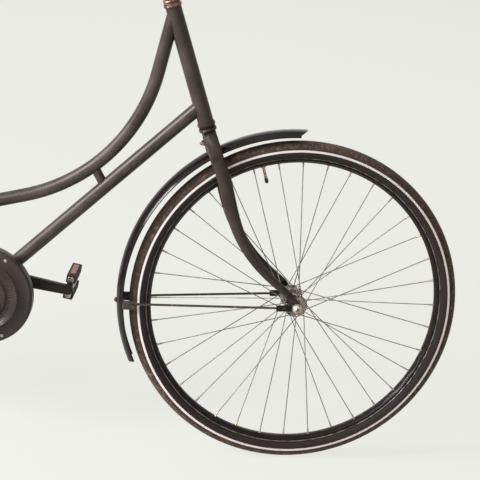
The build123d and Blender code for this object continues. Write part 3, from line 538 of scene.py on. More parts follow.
def close_up(angle=35.0):
    """Merges doubles, turns the faces outwards and shades the piece smooth up to an angle."""
    edit_all()
    bpy.ops.mesh.remove_doubles(threshold=0.002 * MM)
    bpy.ops.mesh.normals_make_consistent(inside=False)
    bpy.ops.object.mode_set(mode="OBJECT")
    bpy.ops.object.shade_smooth_by_angle(angle=radians(angle))


def turned(name, profile, steps=40, sweep=360.0):
    """Spins a profile of (radius, height) round local Z."""
    piece = chain(name, [(radius, 0.0, height) for radius, height in profile])
    edit_all()
    bpy.ops.mesh.spin(steps=steps, angle=radians(sweep), center=(0, 0, 0), axis=(0, 0, 1))
    close_up()
    return piece


def wire(name, spots, radius, rounds=2):
    """A round wire along spots: a line of edges made a curve, thickened and made a mesh."""
    piece = chain(name, spots)
    bpy.ops.object.mode_set(mode="OBJECT")
    bpy.ops.object.convert(target="CURVE")
    piece = bpy.context.object
    piece.data.bevel_depth = radius * MM
    piece.data.bevel_resolution = rounds
    piece.data.use_fill_caps = True
    bpy.ops.object.convert(target="MESH")
    piece = bpy.context.object
    close_up(50.0)
    return piece


def stand_on(piece, spot, along=(0, 0, 1)):
    """Points a piece's local Z along a direction, with its foot on a spot in millimetres."""
    point = Vector(along).to_track_quat("Z", "Y").to_matrix().to_4x4()
    piece.data.transform(Matrix.Translation(Vector(spot) * MM) @ point)
    return piece


def on_wheel(piece, hub, start=0.0):
    """Stands a piece spun round local Z on a hub: its angle 0 is ahead and 90 is up."""
    lay = Matrix(((1, 0, 0, 0), (0, 0, -1, 0), (0, 1, 0, 0), (0, 0, 0, 1)))
    from_start = Matrix.Rotation(radians(start), 4, "Z")
    piece.data.transform(Matrix.Translation(hub * MM) @ lay @ from_start)
    return piece


def joined(name, pieces):
    """Several pieces as one object."""
    fresh()
    for piece in pieces:
        piece.select_set(True)
    bpy.context.view_layer.objects.active = pieces[0]
    bpy.ops.object.join()
    pieces[0].name = name
    return pieces[0]


def second_finish(piece, look, test):
    """Gives another finish to the faces whose centre passes a test, and counts them."""
    piece.data.materials.append(FINISHES[look])
    for face in piece.data.polygons:
        face.material_index = int(test(face.center))
    return sum(face.material_index for face in piece.data.polygons)


def settle(piece, body, look, stands_for=()):
    """Puts a piece in the model's frame, gives it its finish and lets it ride on a body."""
    piece.data.transform(PLACES.get(body, straight))
    if not piece.data.materials:
        piece.data.materials.append(FINISHES[look])
    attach(piece, body)
    if stands_for:
        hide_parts(*stands_for)


# A hexagon's width across the flats is this many times the radius to its corners
FLATS_TO_CORNER = 1.732
CHAMFER_SHARE = 0.05


def hexagon(name, across, height, bolt_r=0.0, stick_out=0.0):
    """A hex nut with chamfered corners, and the end of its bolt, standing on local Z."""
    fresh()
    middle = (0, 0, height * MM / 2)
    corner, tall = across * MM / FLATS_TO_CORNER, height * MM
    bpy.ops.mesh.primitive_cylinder_add(vertices=6, radius=corner, depth=tall, location=middle)
    nut = bpy.context.object
    nut.name = name
    bpy.ops.object.transform_apply(location=True)
    edit_all()
    bpy.ops.mesh.bevel(offset=across * MM * CHAMFER_SHARE, segments=2)
    close_up(30.0)
    if not bolt_r:
        return nut
    top = height + stick_out
    foot = height - 1
    outline = [(0, foot), (bolt_r, foot), (bolt_r, top - 0.8), (bolt_r - 0.8, top), (0, top)]
    return joined(name, [nut, turned("bolt", outline, 20)])


def soft_box(name, size, corner):
    """A box of that size in millimetres with bevelled edges, centred on the origin."""
    fresh()
    bpy.ops.mesh.primitive_cube_add(size=MM)
    box = bpy.context.object
    box.name = name
    edit_all()
    bpy.ops.transform.resize(value=size)
    bpy.ops.mesh.bevel(offset=corner * MM, segments=3)
    close_up(30.0)
    return box


print("shaping tools ready")

# %% [markdown]
# ## Smoothing the CAD parts
# A CAD solid arrives as loose triangles. A copy is merged so that its tubes shade as one
# curved surface, and the copy stands for the solid in the picture.

# %% Smooth copies of the CAD parts
SPECIAL = {
    "headset_cups": "old_cup",
    "headset_locknut": "old_cup",
    # The fork and its crown get the frame's enamel darkened, as painted shade
    "fork_blades": "fork_painted_shade",
    "fork_crown": "fork_painted_shade",
    "front_guard_stays": "stay_enamel",
    "rear_guard_stays": "stay_enamel",
    "front_hub": "hub_shell",
    # The axle nut's pale finish is partly a painted reflection
    "front_axle": "nut_plate_and_painted_shine",
    "rear_hub": "hub_shell",
    "carrier_deck": "stay_enamel",
    "carrier_stays": "stay_enamel",
    "stand": "stay_enamel",
}
REMADE = {
    "front_tyre", "rear_tyre", "front_mudguard", "rear_mudguard", "grips", "bell",
    "saddle_cover", "saddle_frame", "pedal_left_blocks", "pedal_right_blocks", "rear_reflector",
}
TUBES = {
    "down_tube", "top_tube", "frame_bridge", "seat_tube", "head_tube", "front_rim", "rear_rim",
    "chainstay_left", "chainstay_right", "seatstay_left", "seatstay_right", "chainstay_bridge",
}
# Edges flatter than this many degrees are shaded as one surface
TUBE_ANGLE, OTHER_ANGLE = 24, 34
smooth = {}
for node, solid in frame["nodes"].items():
    if node in REMADE:
        continue
    twin = solid.copy()
    twin.data = solid.data.copy()
    twin.parent = None
    for key in [key for key in twin.keys() if key.startswith("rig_")]:
        del twin[key]
    twin.name = f"{node}_finished"
    bpy.context.scene.collection.objects.link(twin)
    only(twin)
    edit_all()
    bpy.ops.mesh.remove_doubles(threshold=0.005 * MM)
    bpy.ops.object.mode_set(mode="OBJECT")
    smooth_below = TUBE_ANGLE if node in TUBES else OTHER_ANGLE
    bpy.ops.object.shade_smooth_by_angle(angle=radians(smooth_below))
    if node in TUBES:
        modified(twin, "WEIGHTED_NORMAL", {"keep_sharp": True, "weight": 100})
    twin.data.materials.clear()
    twin.data.materials.append(FINISHES[SPECIAL.get(node, slot_of[node])])
    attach(twin, body_of[node])
    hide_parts(node)
    smooth[node] = twin
# Both cups are one solid. Below this height, in metres, it is painted with the frame
CUPS_APART = 0.87
second_finish(smooth["headset_cups"], "frame_paint", lambda spot: spot.z < CUPS_APART)
print(len(smooth), "parts smoothed")

# %% [markdown]
# The spokes are drawn wire and the hub is chromed, but the CAD part is one solid. Its faces
# are told apart by how far they are from the axle, and so are the rim and its valve's stem.

# %% Give the spokes their own finish
# Columns: name, hub, body, flange place, flange radius
WHEELS = [
    ("front", FRONT_HUB, "front_wheel", 36.0, 25.0),
    ("rear", REAR_HUB, "rear_wheel", 28.0, 36.0),
]
for name, hub, body, flange_y, flange_r in WHEELS:
    place = PLACES.get(body, straight)
    middle = place @ (hub * MM)
    axle = (place.to_3x3() @ SIDEWAYS).normalized()
    beyond = (flange_r + 2.0) * MM

    def on_spoke(spot):
        out = spot - middle
        return (out - axle * out.dot(axle)).length > beyond

    print(name, second_finish(smooth[f"{name}_hub"], "spoke", on_spoke), "spoke faces")
    within = (RIM_INNER_R - 2.0) * MM
    second_finish(smooth[f"{name}_rim"], "brass", lambda spot: (spot - middle).length < within)

# %% [markdown]
# ## Tyres
# A roadster tyre is a round casing whose beads sit inside the rim. Its profile is spun round
# the axle, and each face then gets its place round the wheel and across the section.

# %% Tyres
OPENING = radians(58.0)
SECTION_STEPS = 28
WHEEL_STEPS = 144
# The grooves between the tread ribs: degrees from the tread's middle, and depth
GROOVE_FROM, GROOVE_TO, GROOVE_DEPTH = 8, 30, 0.5


def tyre_profile():
    """The casing from one bead over the tread to the other, with three low tread ribs."""
    spots = []
    for step in range(SECTION_STEPS + 1):
        angle = pi - OPENING - (2 * pi - 2 * OPENING) * step / SECTION_STEPS
        grooved = step % 2 and GROOVE_FROM < abs(degrees(angle)) < GROOVE_TO
        reach = TYRE_SECTION_R - (GROOVE_DEPTH if grooved else 0.0)
        spots.append((TYRE_CENTRE_R + reach * cos(angle), reach * sin(angle)))
    neck = [(RIM_OUTER_R - 2.0, 10.4), (RIM_OUTER_R + 2.0, 11.2)]
    return [*neck, *spots, *[(radius, -across) for radius, across in reversed(neck)], neck[0]]


for name, hub, body, *_ in WHEELS:
    tyre = turned(f"{name}_tyre_cover", tyre_profile(), WHEEL_STEPS)
    unwrapped = tyre.data.uv_layers.new(name="round_the_tyre")
    for face in tyre.data.polygons:
        base = atan2(face.center.y, face.center.x)
        for loop in face.loop_indices:
            co = tyre.data.vertices[tyre.data.loops[loop].vertex_index].co
            round_at = atan2(co.y, co.x)
            round_at += 2 * pi * round((base - round_at) / (2 * pi))
            over = atan2(co.z, hypot(co.x, co.y) - TYRE_CENTRE_R * MM)
            unwrapped.data[loop].uv = (round_at / (2 * pi), 0.5 + over / (2 * pi))
    on_wheel(tyre, hub)
    settle(tyre, body, "tyre", (f"{name}_tyre",))
    print(tyre.name, len(tyre.data.polygons), "faces")

# %% [markdown]
# ## Nipples, spoke heads and valve
# A spoke ends in a brass nipple at the rim, and its bent head sits in the hub's flange. One
# of each is turned and copied to every spoke, by the same angles as the CAD model's lacing.

# %% Spoke fittings
SPOKES = 36
SPOKE_START = 1.2
SPOKE_CROSS = 50.0
HEAD_INSET, HEAD_OUT, HEAD_BACK = 4, 2.0, 3.5
NIPPLE_R, NIPPLE_Y = RIM_INNER_R + 1.0, 3.0
VALVE_TURN = radians(107.3)
VALVE_CAP = [(0, -1), (4.0, -1), (4.0, 6.0), (3.6, 9.0), (2.0, 10.5), (0, 10.5)]
NIPPLE = [(0, 0), (2.6, 0), (2.6, 2.5), (1.9, 4.0), (1.8, 13.0), (1.3, 14.0), (0, 14.0)]
HEAD = [(0, -2.2), (1.9, -2.0), (1.9, -1.2), (1.2, 0.0), (1.2, 3.0), (0, 3.0)]
nipple = turned("nipple", NIPPLE, 10)
head = turned("spoke_head", HEAD, 10)
for name, hub, body, flange_y, flange_r in WHEELS:
    nipples, heads = [], []
    for count in range(SPOKES):
        side = 1 if count % 2 else -1
        ahead = count % 4 in (0, 3)
        rim_turn = radians(SPOKE_START + count * 360 / SPOKES)
        hub_turn = rim_turn + radians(SPOKE_CROSS if ahead else -SPOKE_CROSS)
        hub_y = side * (flange_y + (HEAD_OUT if ahead else -HEAD_OUT))
        head_r = flange_r - HEAD_INSET
        inner = hub + Vector((head_r * cos(hub_turn), hub_y, head_r * sin(hub_turn)))
        rim_x, rim_z = NIPPLE_R * cos(rim_turn), NIPPLE_R * sin(rim_turn)
        outer = hub + Vector((rim_x, side * NIPPLE_Y, rim_z))
        nipples.append(stand_on(in_scene("one_nipple", nipple.data.copy()), outer, inner - outer))
        face_out = 1 if hub_y > side * flange_y else -1
        head_foot = inner + SIDEWAYS * (-face_out * HEAD_BACK)
        one_head = in_scene("one_head", head.data.copy())
        heads.append(stand_on(one_head, head_foot, (0, face_out, 0)))
    settle(joined(f"{name}_nipples", nipples), body, "nipple_plate")
    settle(joined(f"{name}_spoke_heads", heads), body, "spoke")
    valve_out = Vector((cos(VALVE_TURN), 0, sin(VALVE_TURN)))
    nut_spot = hub + valve_out * (RIM_INNER_R + 0.5)
    valve_nut = hexagon(f"{name}_valve_nut", 11.0, 3.0)
    settle(stand_on(valve_nut, nut_spot, -valve_out), body, "brass")
    cap = turned(f"{name}_valve_cap", VALVE_CAP, 20)
    cap_spot = hub + valve_out * (RIM_INNER_R - 28.0)
    settle(stand_on(cap, cap_spot, -valve_out), body, "cap_plastic")
for spare in (nipple, head):
    bpy.data.objects.remove(spare)
print(SPOKES * 2, "spokes fitted")

# %% [markdown]
# ## Mudguards
# A mudguard is rolled from thin sheet: a crowned strip whose edges are turned in to a bead,
# which stiffens it and catches the light as a thin line. The profile is spun round the
# guard's own centre, which on this bicycle lies a little behind and above the hub.

# %% Mudguards
GUARD_DROP = 11.0
EDGE_R = 1.6
SHEET = 1.4
CROWN_STEPS = 16
TIP_SLANT = radians(3.3)
FACE_DEGREES = 2.5


def guard_profile(ridge_r, half_width):
    """The crowned strip's outline, out and back with a rolled bead at each edge."""
    spots = []
    sag_r = (half_width ** 2 + GUARD_DROP ** 2) / (2 * GUARD_DROP)
    widest = asin(half_width / sag_r)
    for step in range(CROWN_STEPS + 1):
        angle = widest - 2 * widest * step / CROWN_STEPS
        spots.append((ridge_r - sag_r + sag_r * cos(angle), sag_r * sin(angle)))
    edge = ridge_r - GUARD_DROP
    bead = []
    for a in (-0.6, -1.6, -2.6, -3.6):
        height = half_width - EDGE_R + EDGE_R * cos(a)
        bead.append((edge + EDGE_R * sin(a) - 0.6, height))
    other_bead = [(radius, -height) for radius, height in bead]
    inner = [(radius - SHEET, height * 0.93) for radius, height in reversed(spots[1:-1])]
    return [*spots, *other_bead, *inner, *reversed(bead), spots[0]]


FRONT_GUARD_CENTRE = FRONT_HUB + Vector((-10.5, 0.0, 7.0))
# Each guard goes from one angle to another, and its front tip is cut at a slant.
# Columns: name, centre, ridge radius, half width, start and end in degrees, body
GUARDS = [
    ("front_mudguard_rolled", FRONT_GUARD_CENTRE, 376.0, 27.0, 89.0, 205.0, "steering"),
    ("rear_mudguard_rolled", REAR_HUB, 380.0, 25.0, -9.5, 196.0, "frame"),
]
for name, centre, ridge_r, half_width, start, end, body in GUARDS:
    faces = max(12, int((end - start) / FACE_DEGREES))
    piece = turned(name, guard_profile(ridge_r, half_width), faces, end - start)
    only(piece)
    bpy.ops.object.mode_set(mode="EDIT")
    bpy.ops.mesh.select_all(action="DESELECT")
    bpy.ops.mesh.select_non_manifold()
    bpy.ops.mesh.fill()
    close_up(40.0)
    for vertex in piece.data.vertices:
        turned_by = -atan2(vertex.co.y, vertex.co.x) % (2 * pi)
        if abs(turned_by - radians(end - start)) < 0.01:
            below = (ridge_r - hypot(vertex.co.x, vertex.co.y) / MM) / GUARD_DROP
            vertex.co.rotate(Matrix.Rotation(TIP_SLANT * min(1.0, below), 3, "Z"))
    on_wheel(piece, centre, end)
    settle(piece, body, "guard_paint", (name.removesuffix("_rolled"),))
print(len(GUARDS), "mudguards rolled")

# %% [markdown]
# ## Rim edges
# A steel rim is rolled so that its edges form a round bead for the tyre. Its colour is paler
# than the rim's, a painted highlight, which reads as a thin paler line between the rim and
# the tyre.

# %% Rim beads
BEAD_CENTRE_R = RIM_OUTER_R + 0.6
BEAD_R, BEAD_Y = 1.5, 12.4
for name, hub, body, *_ in WHEELS:
    beads = []
    for side in (-1, 1):
        ring = []
        for a in (0, 1.05, 2.09, 3.14, 4.19, 5.24, 0):
            across = side * BEAD_Y + BEAD_R * sin(a)
            ring.append((BEAD_CENTRE_R + BEAD_R * cos(a), across))
        beads.append(turned("bead", ring, WHEEL_STEPS))
    both = joined(f"{name}_rim_beads", beads)
    # The beads' paler colour is a painted highlight along the rim's edges
    settle(on_wheel(both, hub), body, "rim_edge_painted_highlight")
print("rim beads rolled")

# %% [markdown]
# ## Fastenings
# A bicycle is held together by small hex nuts, and their bolt ends catch the light. Each is
# a six-sided primitive with its corners bevelled, and a nut also gets a turned bolt end.

# %% Nuts, bolts and pins
CROWN_BACK = on_axis(706.0) - AXIS_AHEAD * 14.0
GUARD_BOLT_TURN = radians(183.5)
guard_out = Vector((cos(GUARD_BOLT_TURN), 0.0, sin(GUARD_BOLT_TURN)))
guard_bolt_spot = FRONT_GUARD_CENTRE + guard_out * 375.4
SEAT_LEAN = radians(22.0)
SEAT_UP = Vector((-sin(SEAT_LEAN), 0.0, cos(SEAT_LEAN)))
SEAT_TOP = BRACKET + SEAT_UP * 520.0
clamp_lug = SEAT_TOP + SEAT_UP * 8.0 - Vector((21.0, 0.0, 8.0))
clamp_left, clamp_right = (clamp_lug + SIDEWAYS * (side * 14.0) for side in (1, -1))
LOCK_FOOT = on_axis(990.0) + AXIS_UP * 11.5
QUILL_TOP = LOCK_FOOT + AXIS_UP * 74.0
BAR_CENTRE = QUILL_TOP + Vector((46.0, 0.0, 12.0))
stay_end = Vector((-1100.0, 57.5, 376.0))
clip_at = BRACKET + SIDEWAYS * 29.0
clip_at = clip_at + (stay_end - clip_at) * 0.72
eye_left, eye_right = (Vector((-1160.0, side * 73.5, 450.0)) for side in (1, -1))
strip_left, strip_right = (Vector((-352.5, side * 34.7, 340.5)) for side in (1, -1))
brake_spot = clip_at + Vector((0.0, 7.0, -12.0))
# Columns: name, body, spot, direction, across flats, height, bolt radius, bolt stands out, finish
NUTS = [
    ("crown_guard_bolt", "steering", CROWN_BACK, -AXIS_AHEAD, 11.0, 6.0, 3.0, 5.0, "brass"),
    ("guard_strip_bolt", "steering", guard_bolt_spot, guard_out, 10.0, 4.0, 2.5, 2.0, "old_cup"),
    ("strip_nut_left", "steering", strip_left, SIDEWAYS, 9.0, 3.5, 2.0, 2.0, "old_cup"),
    ("strip_nut_right", "steering", strip_right, -SIDEWAYS, 9.0, 3.5, 2.0, 2.0, "old_cup"),
    ("seat_clamp_nut", "frame", clamp_left, SIDEWAYS, 13.0, 7.0, 4.0, 3.0, "bright_steel"),
    ("seat_clamp_head", "frame", clamp_right, -SIDEWAYS, 13.0, 6.0, 0.0, 0.0, "bright_steel"),
    ("stem_bolt", "steering", QUILL_TOP - AXIS_UP * 1.0, AXIS_UP, 17.0, 7.0, 0.0, 0.0, "chrome"),
    ("bar_clamp_bolt", "steering", BAR_CENTRE - UP * 15.5, -UP, 13.0, 6.0, 4.0, 4.0, "chrome"),
    ("brake_clip_nut", "frame", brake_spot, SIDEWAYS, 10.0, 5.0, 3.0, 3.0, "bright_steel"),
    ("eyelet_nut_left", "frame", eye_left, SIDEWAYS, 10.0, 5.0, 3.0, 2.5, "bright_steel"),
    ("eyelet_nut_right", "frame", eye_right, -SIDEWAYS, 10.0, 5.0, 3.0, 2.5, "bright_steel"),
]
for name, body, spot, along, across, height, bolt_r, stick_out, look in NUTS:
    nut = hexagon(name, across, height, bolt_r, stick_out)
    settle(stand_on(nut, spot, along), body, look)
print(len(NUTS), "nuts")

# %% Ends of the front stays
TAB, TAB_SPOT = (30.0, 3.0, 20.0), (-360.0, 33.4, 341.5)
EAR, EAR_SPOT = (3.6, 14.0, 34.0), FRONT_HUB + Vector((-28.0, 55.0, -1.3))
# Columns: name, size, corner, place on the left, direction, finish, slot
STAY_ENDS = [
    ("stay_bracket_tabs", TAB, 1.2, TAB_SPOT, UP, "stay_enamel", "frame_paint"),
    ("stay_ears", EAR, 1.4, EAR_SPOT, (1.0, 0.0, 0.045), "rim_paint", "guard_paint"),
]
for name, size, corner, (x, y, z), way, look, slot in STAY_ENDS:
    both = [stand_on(soft_box("end", size, corner), (x, side * y, z), way) for side in (1, -1)]
    settle(joined(name, both), "steering", look)
print("ends of the front stays shaped")

# %% Axle ends
SIDES = [("left", 1), ("right", -1)]
WASHER = [(5.0, 0), (10.4, 0), (10.8, 0.5), (10.8, 1.2), (5.0, 1.2), (5.0, 0)]
AXLE_TIP = [(0, 0), (4.75, 0), (4.75, 0.4), (3.9, 1.3), (1.4, 1.3), (0, 0.6)]
# Columns: name, body, hub, washer place, axle tip place
AXLE_ENDS = [("front", "steering", FRONT_HUB, 56.6, 70.0), ("rear", "frame", REAR_HUB, 69.2, 85.0)]
for name, body, hub, washer_y, tip_y in AXLE_ENDS:
    for side_name, side in SIDES:
        out = SIDEWAYS * side
        ring = turned(f"{name}_washer_{side_name}", WASHER, 32)
        settle(stand_on(ring, hub + out * washer_y, out), body, "bright_steel")
        tip = turned(f"{name}_axle_tip_{side_name}", AXLE_TIP, 24)
        settle(stand_on(tip, hub + out * tip_y, out), body, "rust")
print("axle ends finished")

# %% Cotter pins: a tapered pin through each crank's eye, pulled tight by a nut
CRANK_TURN = radians(-5.9)
CRANK_LENGTH = 170.0
PIN_AHEAD, PIN_Y = 9.0, 76.0
COTTER = [(0, -21), (3.6, -21), (4.6, -19), (4.6, 17), (3.0, 17), (3.0, 25), (0, 25)]
crank_way = Vector((cos(CRANK_TURN), 0.0, sin(CRANK_TURN)))
crank_across = Vector((-sin(CRANK_TURN), 0.0, cos(CRANK_TURN)))
for side_name, side in SIDES:
    pin_middle = BRACKET + crank_way * (side * PIN_AHEAD) + SIDEWAYS * (side * PIN_Y)
    shaft = turned(f"cotter_pin_{side_name}", COTTER, 20)
    stand_on(shaft, pin_middle, crank_across)
    nut_foot = pin_middle + crank_across * 16.5
    pin_nut = stand_on(hexagon("cotter_nut", 9.0, 4.5), nut_foot, crank_across)
    settle(joined(f"cotter_{side_name}", [shaft, pin_nut]), "crank", "bright_steel")
print("cotter pins in")

# %% [markdown]
# ## Chaincase screws
# The case is a lid on a back shell, held by a few domed screws round its edge. At the size
# they have in the picture their slots would not show, so none is cut.

# %% Screws on the case
CASE_FACE_Y = -62.4
SCREW_HEAD = [(0, 2.4), (1.6, 2.3), (3.4, 1.6), (4.2, 0.4), (4.2, 0), (0, 0)]
screws = []
# Columns: middle of the round end, how far out its screws are, where they are in degrees
CASE_ENDS = [(BRACKET, 101.0, (60, 130, 300)), (REAR_HUB, 44.0, (80, 200, 300))]
for middle, reach, turns in CASE_ENDS:
    for turn_deg in turns:
        at = radians(turn_deg)
        spot = middle + Vector((cos(at) * reach, CASE_FACE_Y, sin(at) * reach))
        screws.append(stand_on(turned("screw", SCREW_HEAD, 20), spot, -SIDEWAYS))
settle(joined("case_screws", screws), "frame", "bright_steel")
print(len(screws), "screws")

# %% [markdown]
# ## Pedals
# A block pedal has two rubber treads between end plates, and a reflector in each outer
# edge. A tread's ridged outline is drawn once, filled and extruded along the spindle.

# %% Pedal treads and reflectors
def extruded(name, outline, length):
    """A closed outline in local X and Y, filled and extruded along local Z."""
    piece = chain(name, [(x, y, 0.0) for x, y in [*outline, outline[0]]])
    edit_all()
    bpy.ops.mesh.remove_doubles(threshold=0.002 * MM)
    edit_all()
    bpy.ops.mesh.edge_face_add()
    bpy.ops.mesh.extrude_region_move(TRANSFORM_OT_translate={"value": (0, 0, length * MM)})
    close_up(25.0)
    return piece


RIDGE_TOP, RIDGE_ROOT, RIDGE_PITCH = 11.0, 9.4, 4.8
TREAD_HALF, TREAD_FLANK = 9.4, 7.6
TREAD_OUT, TREAD_START = 19.5, 91.0
STRIP_OUT, STRIP_START = 28.4, 102.0
STRIP = [(0, -6), (1.4, -6), (2.0, -4.5), (2.0, 4.5), (1.4, 6), (0, 6)]
CAP_START = 175.2
DUST_CAP = [(0, 3.4), (5.0, 3.2), (7.6, 2.0), (8.6, 0.4), (8.6, 0.0), (0, 0.0)]
upper_edge = []
for ridge in range(4):
    at = -8.6 + ridge * RIDGE_PITCH
    upper_edge += [(at, RIDGE_ROOT), (at + 0.4, RIDGE_TOP)]
    upper_edge += [(at + 2.6, RIDGE_TOP), (at + 3.0, RIDGE_ROOT)]
lower_edge = [(x, -y) for x, y in reversed(upper_edge)]
right_flank = [(TREAD_HALF, TREAD_FLANK), (TREAD_HALF, -TREAD_FLANK)]
tread_outline = [
    (-TREAD_HALF, TREAD_FLANK), *upper_edge, *right_flank, *lower_edge, (-TREAD_HALF, -TREAD_FLANK)
]
PEDAL_TURN = radians(83.0)
wide = Vector((cos(PEDAL_TURN), 0.0, sin(PEDAL_TURN)))
for side_name, side in SIDES:
    eye = BRACKET + crank_way * (side * CRANK_LENGTH)
    spindle_way = SIDEWAYS * side
    thin = spindle_way.cross(wide)
    turn_in = Matrix((wide, thin, spindle_way)).transposed().to_4x4()
    treads, strips = [], []
    for way in (-1, 1):
        tread = extruded("tread", tread_outline, 78.0)
        strip = extruded("strip", STRIP, 56.0)
        strip.data.transform(Matrix.Rotation(pi if way < 0 else 0.0, 4, "Z"))
        for piece, out, start in ((tread, TREAD_OUT, TREAD_START), (strip, STRIP_OUT, STRIP_START)):
            spot = eye + wide * (way * out) + spindle_way * start
            piece.data.transform(Matrix.Translation(spot * MM) @ turn_in)
        treads.append(tread)
        strips.append(strip)
    body = f"pedal_{side_name}"
    both = joined(f"{body}_treads", treads)
    settle(both, body, "pedal_rubber", (f"{body}_blocks",))
    settle(joined(f"{body}_reflectors", strips), body, "amber")
    dust_cap = turned(f"{body}_cap", DUST_CAP, 24)
    settle(stand_on(dust_cap, eye + spindle_way * CAP_START, spindle_way), "crank", "rust")
print("pedals shod")

# %% [markdown]
# ## Grips and bell
# The grips are moulded with rings for the fingers, and the bell is a pressed dome on a
# clamp. All are turned shapes, apart from the bell's thumb lever, which is a bent wire.

# %% Grips
GRIP_LENGTH = 124.0
RINGS, RING_PITCH, RING_START = 16, 6.6, 8.0
grip_pieces = []
for side in (1, -1):
    bend = BAR_CENTRE + Vector((-96.0, side * 290.0, 60.0))
    end = BAR_CENTRE + Vector((-250.0, side * 278.0, 36.0))
    way = (end - bend).normalized()
    rings = [(11.05, 0.0), (16.4, 0.0), (17.0, 1.5), (17.0, 4.0), (15.2, 5.0)]
    for ring in range(RINGS):
        at = RING_START + ring * RING_PITCH
        root, crest = 14.4 + 0.05 * ring, 15.6 + 0.05 * ring
        rings += [(root, at), (crest, at + 1.2), (crest, at + 3.8), (root, at + 5.0)]
    rings += [(16.2, 119.0), (16.4, 124.0), (15.2, 127.2), (8.0, 128.0), (0.0, 128.0)]
    grip_pieces.append(stand_on(turned("grip", rings, 32), end - way * GRIP_LENGTH, way))
both = joined("ringed_grips", grip_pieces)
settle(both, "steering", "grip_rubber", ("grips",))
print("grips on")

# %% Bell
bell_at = BAR_CENTRE + Vector((0.0, 44.0, 11.0))
rolled_lip = [(0, 10.5), (23.6, 10.5), (24.2, 9.2), (26, 9.2), (26, 12)]
crown = [(25.3, 18), (22, 24), (15, 27.8), (6, 28.6), (5, 29), (0, 29)]
dome = stand_on(turned("bell_dome", [*rolled_lip, *crown], 48), bell_at)
post_line = [(0, -2.5), (6.5, -2.5), (6.5, 10.6), (0, 10.6)]
post = stand_on(turned("bell_post", post_line, 24), bell_at)
band = [(11.05, -6), (13.2, -6), (13.5, -5), (13.5, 5), (13.2, 6), (11.05, 6), (11.05, -6)]
strap = stand_on(turned("bell_strap", band, 36), bell_at - UP * 11.0, SIDEWAYS)
LEVER = [(0, 0, 6), (-12, -3, 6), (-24, -4, 7), (-34, -4, 10)]
lever = wire("bell_lever", [bell_at + Vector(spot) for spot in LEVER], 2.0)
whole = joined("bell_pressed", [dome, post, strap, lever])
settle(whole, "steering", "chrome", ("bell",))
print("bell on")

# %% [markdown]
# ## Saddle
# A sprung saddle: vinyl over a shaped pad, on a wire frame with two coil springs at the
# back. The pad starts from the model's block, remeshed to even faces, and is then dished
# where the rider sits. A piped seam runs round its skirt.

# %% Saddle cover
POST_TOP = SEAT_TOP + SEAT_UP * 88.0
SADDLE_X = POST_TOP.x
PAN_Z = POST_TOP.z + 62.0
NOSE_X, TAIL_X = SADDLE_X + 150.0, SADDLE_X - 115.0
PAD_HEIGHT, PAD_HALF = 50.0, 106.0
DISH_DEPTH, NOSE_DROP, SHOULDER_DROP = 7.0, 9.0, 9.0
FURROW_DEPTH, FURROW_HALF = 2.0, 7.0
pad = in_scene("saddle_pad", frame["nodes"]["saddle_cover"].data.copy())
pad.data.transform(Matrix.Translation(-STANCE))
pad.data.materials.clear()
only(pad)
modified(pad, "REMESH", {"mode": "VOXEL", "voxel_size": 4.0 * MM})
modified(pad, "SMOOTH", {"iterations": 10})
for vertex in pad.data.vertices:
    along = (vertex.co.x / MM - TAIL_X) / (NOSE_X - TAIL_X)
    lift = max(0.0, (vertex.co.z / MM - PAN_Z) / PAD_HEIGHT)
    out = abs(vertex.co.y) / MM / PAD_HALF
    dish = DISH_DEPTH * exp(-((along - 0.5) / 0.2) ** 2)
    dish += NOSE_DROP * max(0.0, along - 0.75) / 0.25
    shoulder = SHOULDER_DROP * out ** 2 * (1.0 - min(1.0, along * 1.2))
    vertex.co.z -= (dish + shoulder) * lift * MM
    if along < 0.6:
        furrow = exp(-(vertex.co.y / MM / FURROW_HALF) ** 2)
        vertex.co.z -= FURROW_DEPTH * furrow * lift * MM
bpy.ops.object.shade_smooth()
modified(pad, "SUBSURF", {"levels": 1, "render_levels": 1})
skirt = []
for step in range(73):
    at = radians(step * 5)
    ray = Vector((cos(at), sin(at)))
    best = 0.0
    for vertex in pad.data.vertices:
        if PAN_Z + 4 < vertex.co.z / MM < PAN_Z + 12:
            flat = Vector((vertex.co.x / MM - SADDLE_X, vertex.co.y / MM))
            if flat.normalized().dot(ray) > 0.9985:
                best = max(best, flat.length)
    skirt.append(Vector((SADDLE_X + ray.x * best, ray.y * best, PAN_Z + 8.0)))
skirt[-1] = skirt[0]
piping = wire("saddle_piping", skirt, 1.3)
settle(piping, "frame", "saddle_cover")
settle(pad, "frame", "saddle_cover", ("saddle_cover",))
print("saddle pad has", len(pad.data.polygons), "faces")

# %% [markdown]
# The springs are a helix of wire, wider at both ends than at the waist. The rails are bent
# from one wire a side, so their corners are rounded before the line gets its section.

# %% Saddle springs and rails
def rounded(spots, cut):
    """The line through spots with each inner corner turned into a short curve."""
    line = [spots[0]]
    for before, corner, after in zip(spots, spots[1:], spots[2:]):
        start = corner + (before - corner).normalized() * cut
        end = corner + (after - corner).normalized() * cut
        for step in range(5):
            share = step / 4
            line.append(start.lerp(corner, share).lerp(corner.lerp(end, share), share))
    return [*line, spots[-1]]


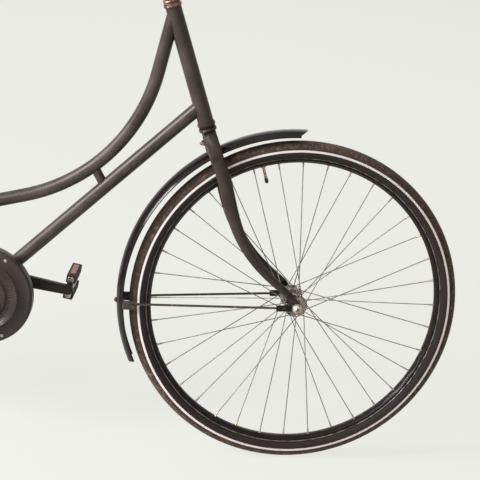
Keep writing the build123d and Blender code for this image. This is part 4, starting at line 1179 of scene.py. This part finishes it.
SPRING_X, SPRING_Y = TAIL_X + 36, 66
COIL_TURNS, COIL_STEPS = 6, 6 * 16
COIL_R, WAIST, COIL_FOOT, COIL_HEIGHT = 13.4, 2.6, PAN_Z - 43.5, 41
CUP = [(0, 0), (13, 0), (14.5, 1), (14.5, 2.4), (13, 3), (0, 3)]
CLAMP = [(0, -17), (8, -17), (16, -15), (17, -12), (17, 12), (16, 15), (8, 17), (0, 17)]
BOLT_X, BOLT_Z = SADDLE_X - 4, POST_TOP.z - 4
saddle_bits = []
for side in (1, -1):
    coil = []
    for step in range(COIL_STEPS + 1):
        share = step / COIL_STEPS
        at = share * COIL_TURNS * 2 * pi
        reach = COIL_R - WAIST * sin(share * pi)
        x, y = SPRING_X + reach * cos(at), side * SPRING_Y + reach * sin(at)
        coil.append((x, y, COIL_FOOT + COIL_HEIGHT * share))
    saddle_bits.append(wire("coil", coil, 2.4))
    rail = [
        Vector((NOSE_X - 14, side * 8, PAN_Z - 4.5)),
        Vector((SADDLE_X + 60, side * 16, BOLT_Z)),
        Vector((TAIL_X + 74, side * 30, BOLT_Z)),
        Vector((TAIL_X + 38, side * 62, PAN_Z - 46)),
        Vector((SPRING_X, side * 80, PAN_Z - 46)),
    ]
    saddle_bits.append(wire("rail", rounded(rail, 9.0), 3.5, 3))
    for end_z in (PAN_Z - 46, PAN_Z - 3):
        cup = turned("cup", CUP, 28)
        saddle_bits.append(stand_on(cup, (SPRING_X, side * SPRING_Y, end_z)))
nose_pin = turned("nose_pin", [(0, -12), (4.5, -12), (4.5, 12), (0, 12)], 20)
saddle_bits.append(stand_on(nose_pin, (NOSE_X - 14, 0, PAN_Z - 4.5), SIDEWAYS))
clamp = turned("clamp", CLAMP, 36)
saddle_bits.append(stand_on(clamp, (SADDLE_X, 0, POST_TOP.z - 10), SIDEWAYS))
bar = turned("cross_bolt", [(0, -36), (4, -36), (4, 36), (0, 36)], 16)
saddle_bits.append(stand_on(bar, (BOLT_X, 0, BOLT_Z), SIDEWAYS))
for side in (1, -1):
    nut = hexagon("clamp_nut", 14.0, 7.0, 4.0, 3.0)
    saddle_bits.append(stand_on(nut, (BOLT_X, side * 27, BOLT_Z), SIDEWAYS * side))
whole = joined("saddle_springs_and_rails", saddle_bits)
settle(whole, "frame", "bright_steel", ("saddle_frame",))
print("saddle sprung")

# %% [markdown]
# ## Rear reflector
# A red prism lens in a dark housing on the end of the carrier. Both are a box whose edges
# are bevelled, and the lens is the smaller of the two, so the housing frames it.

# %% Reflector
HOUSING_SIZE, HOUSING_AT = (6.0, 92.0, 34.0), (-1343.2, 0.0, 797.0)
LENS_SIZE, LENS_AT = (5.0, 84.0, 26.0), (-1346.4, 0.0, 797.0)
housing = stand_on(soft_box("reflector_housing", HOUSING_SIZE, 2.5), HOUSING_AT)
settle(housing, "frame", "grip_rubber", ("rear_reflector",))
lens = stand_on(soft_box("reflector_lens", LENS_SIZE, 1.5), LENS_AT)
settle(lens, "frame", "red_lens")
print("reflector on")
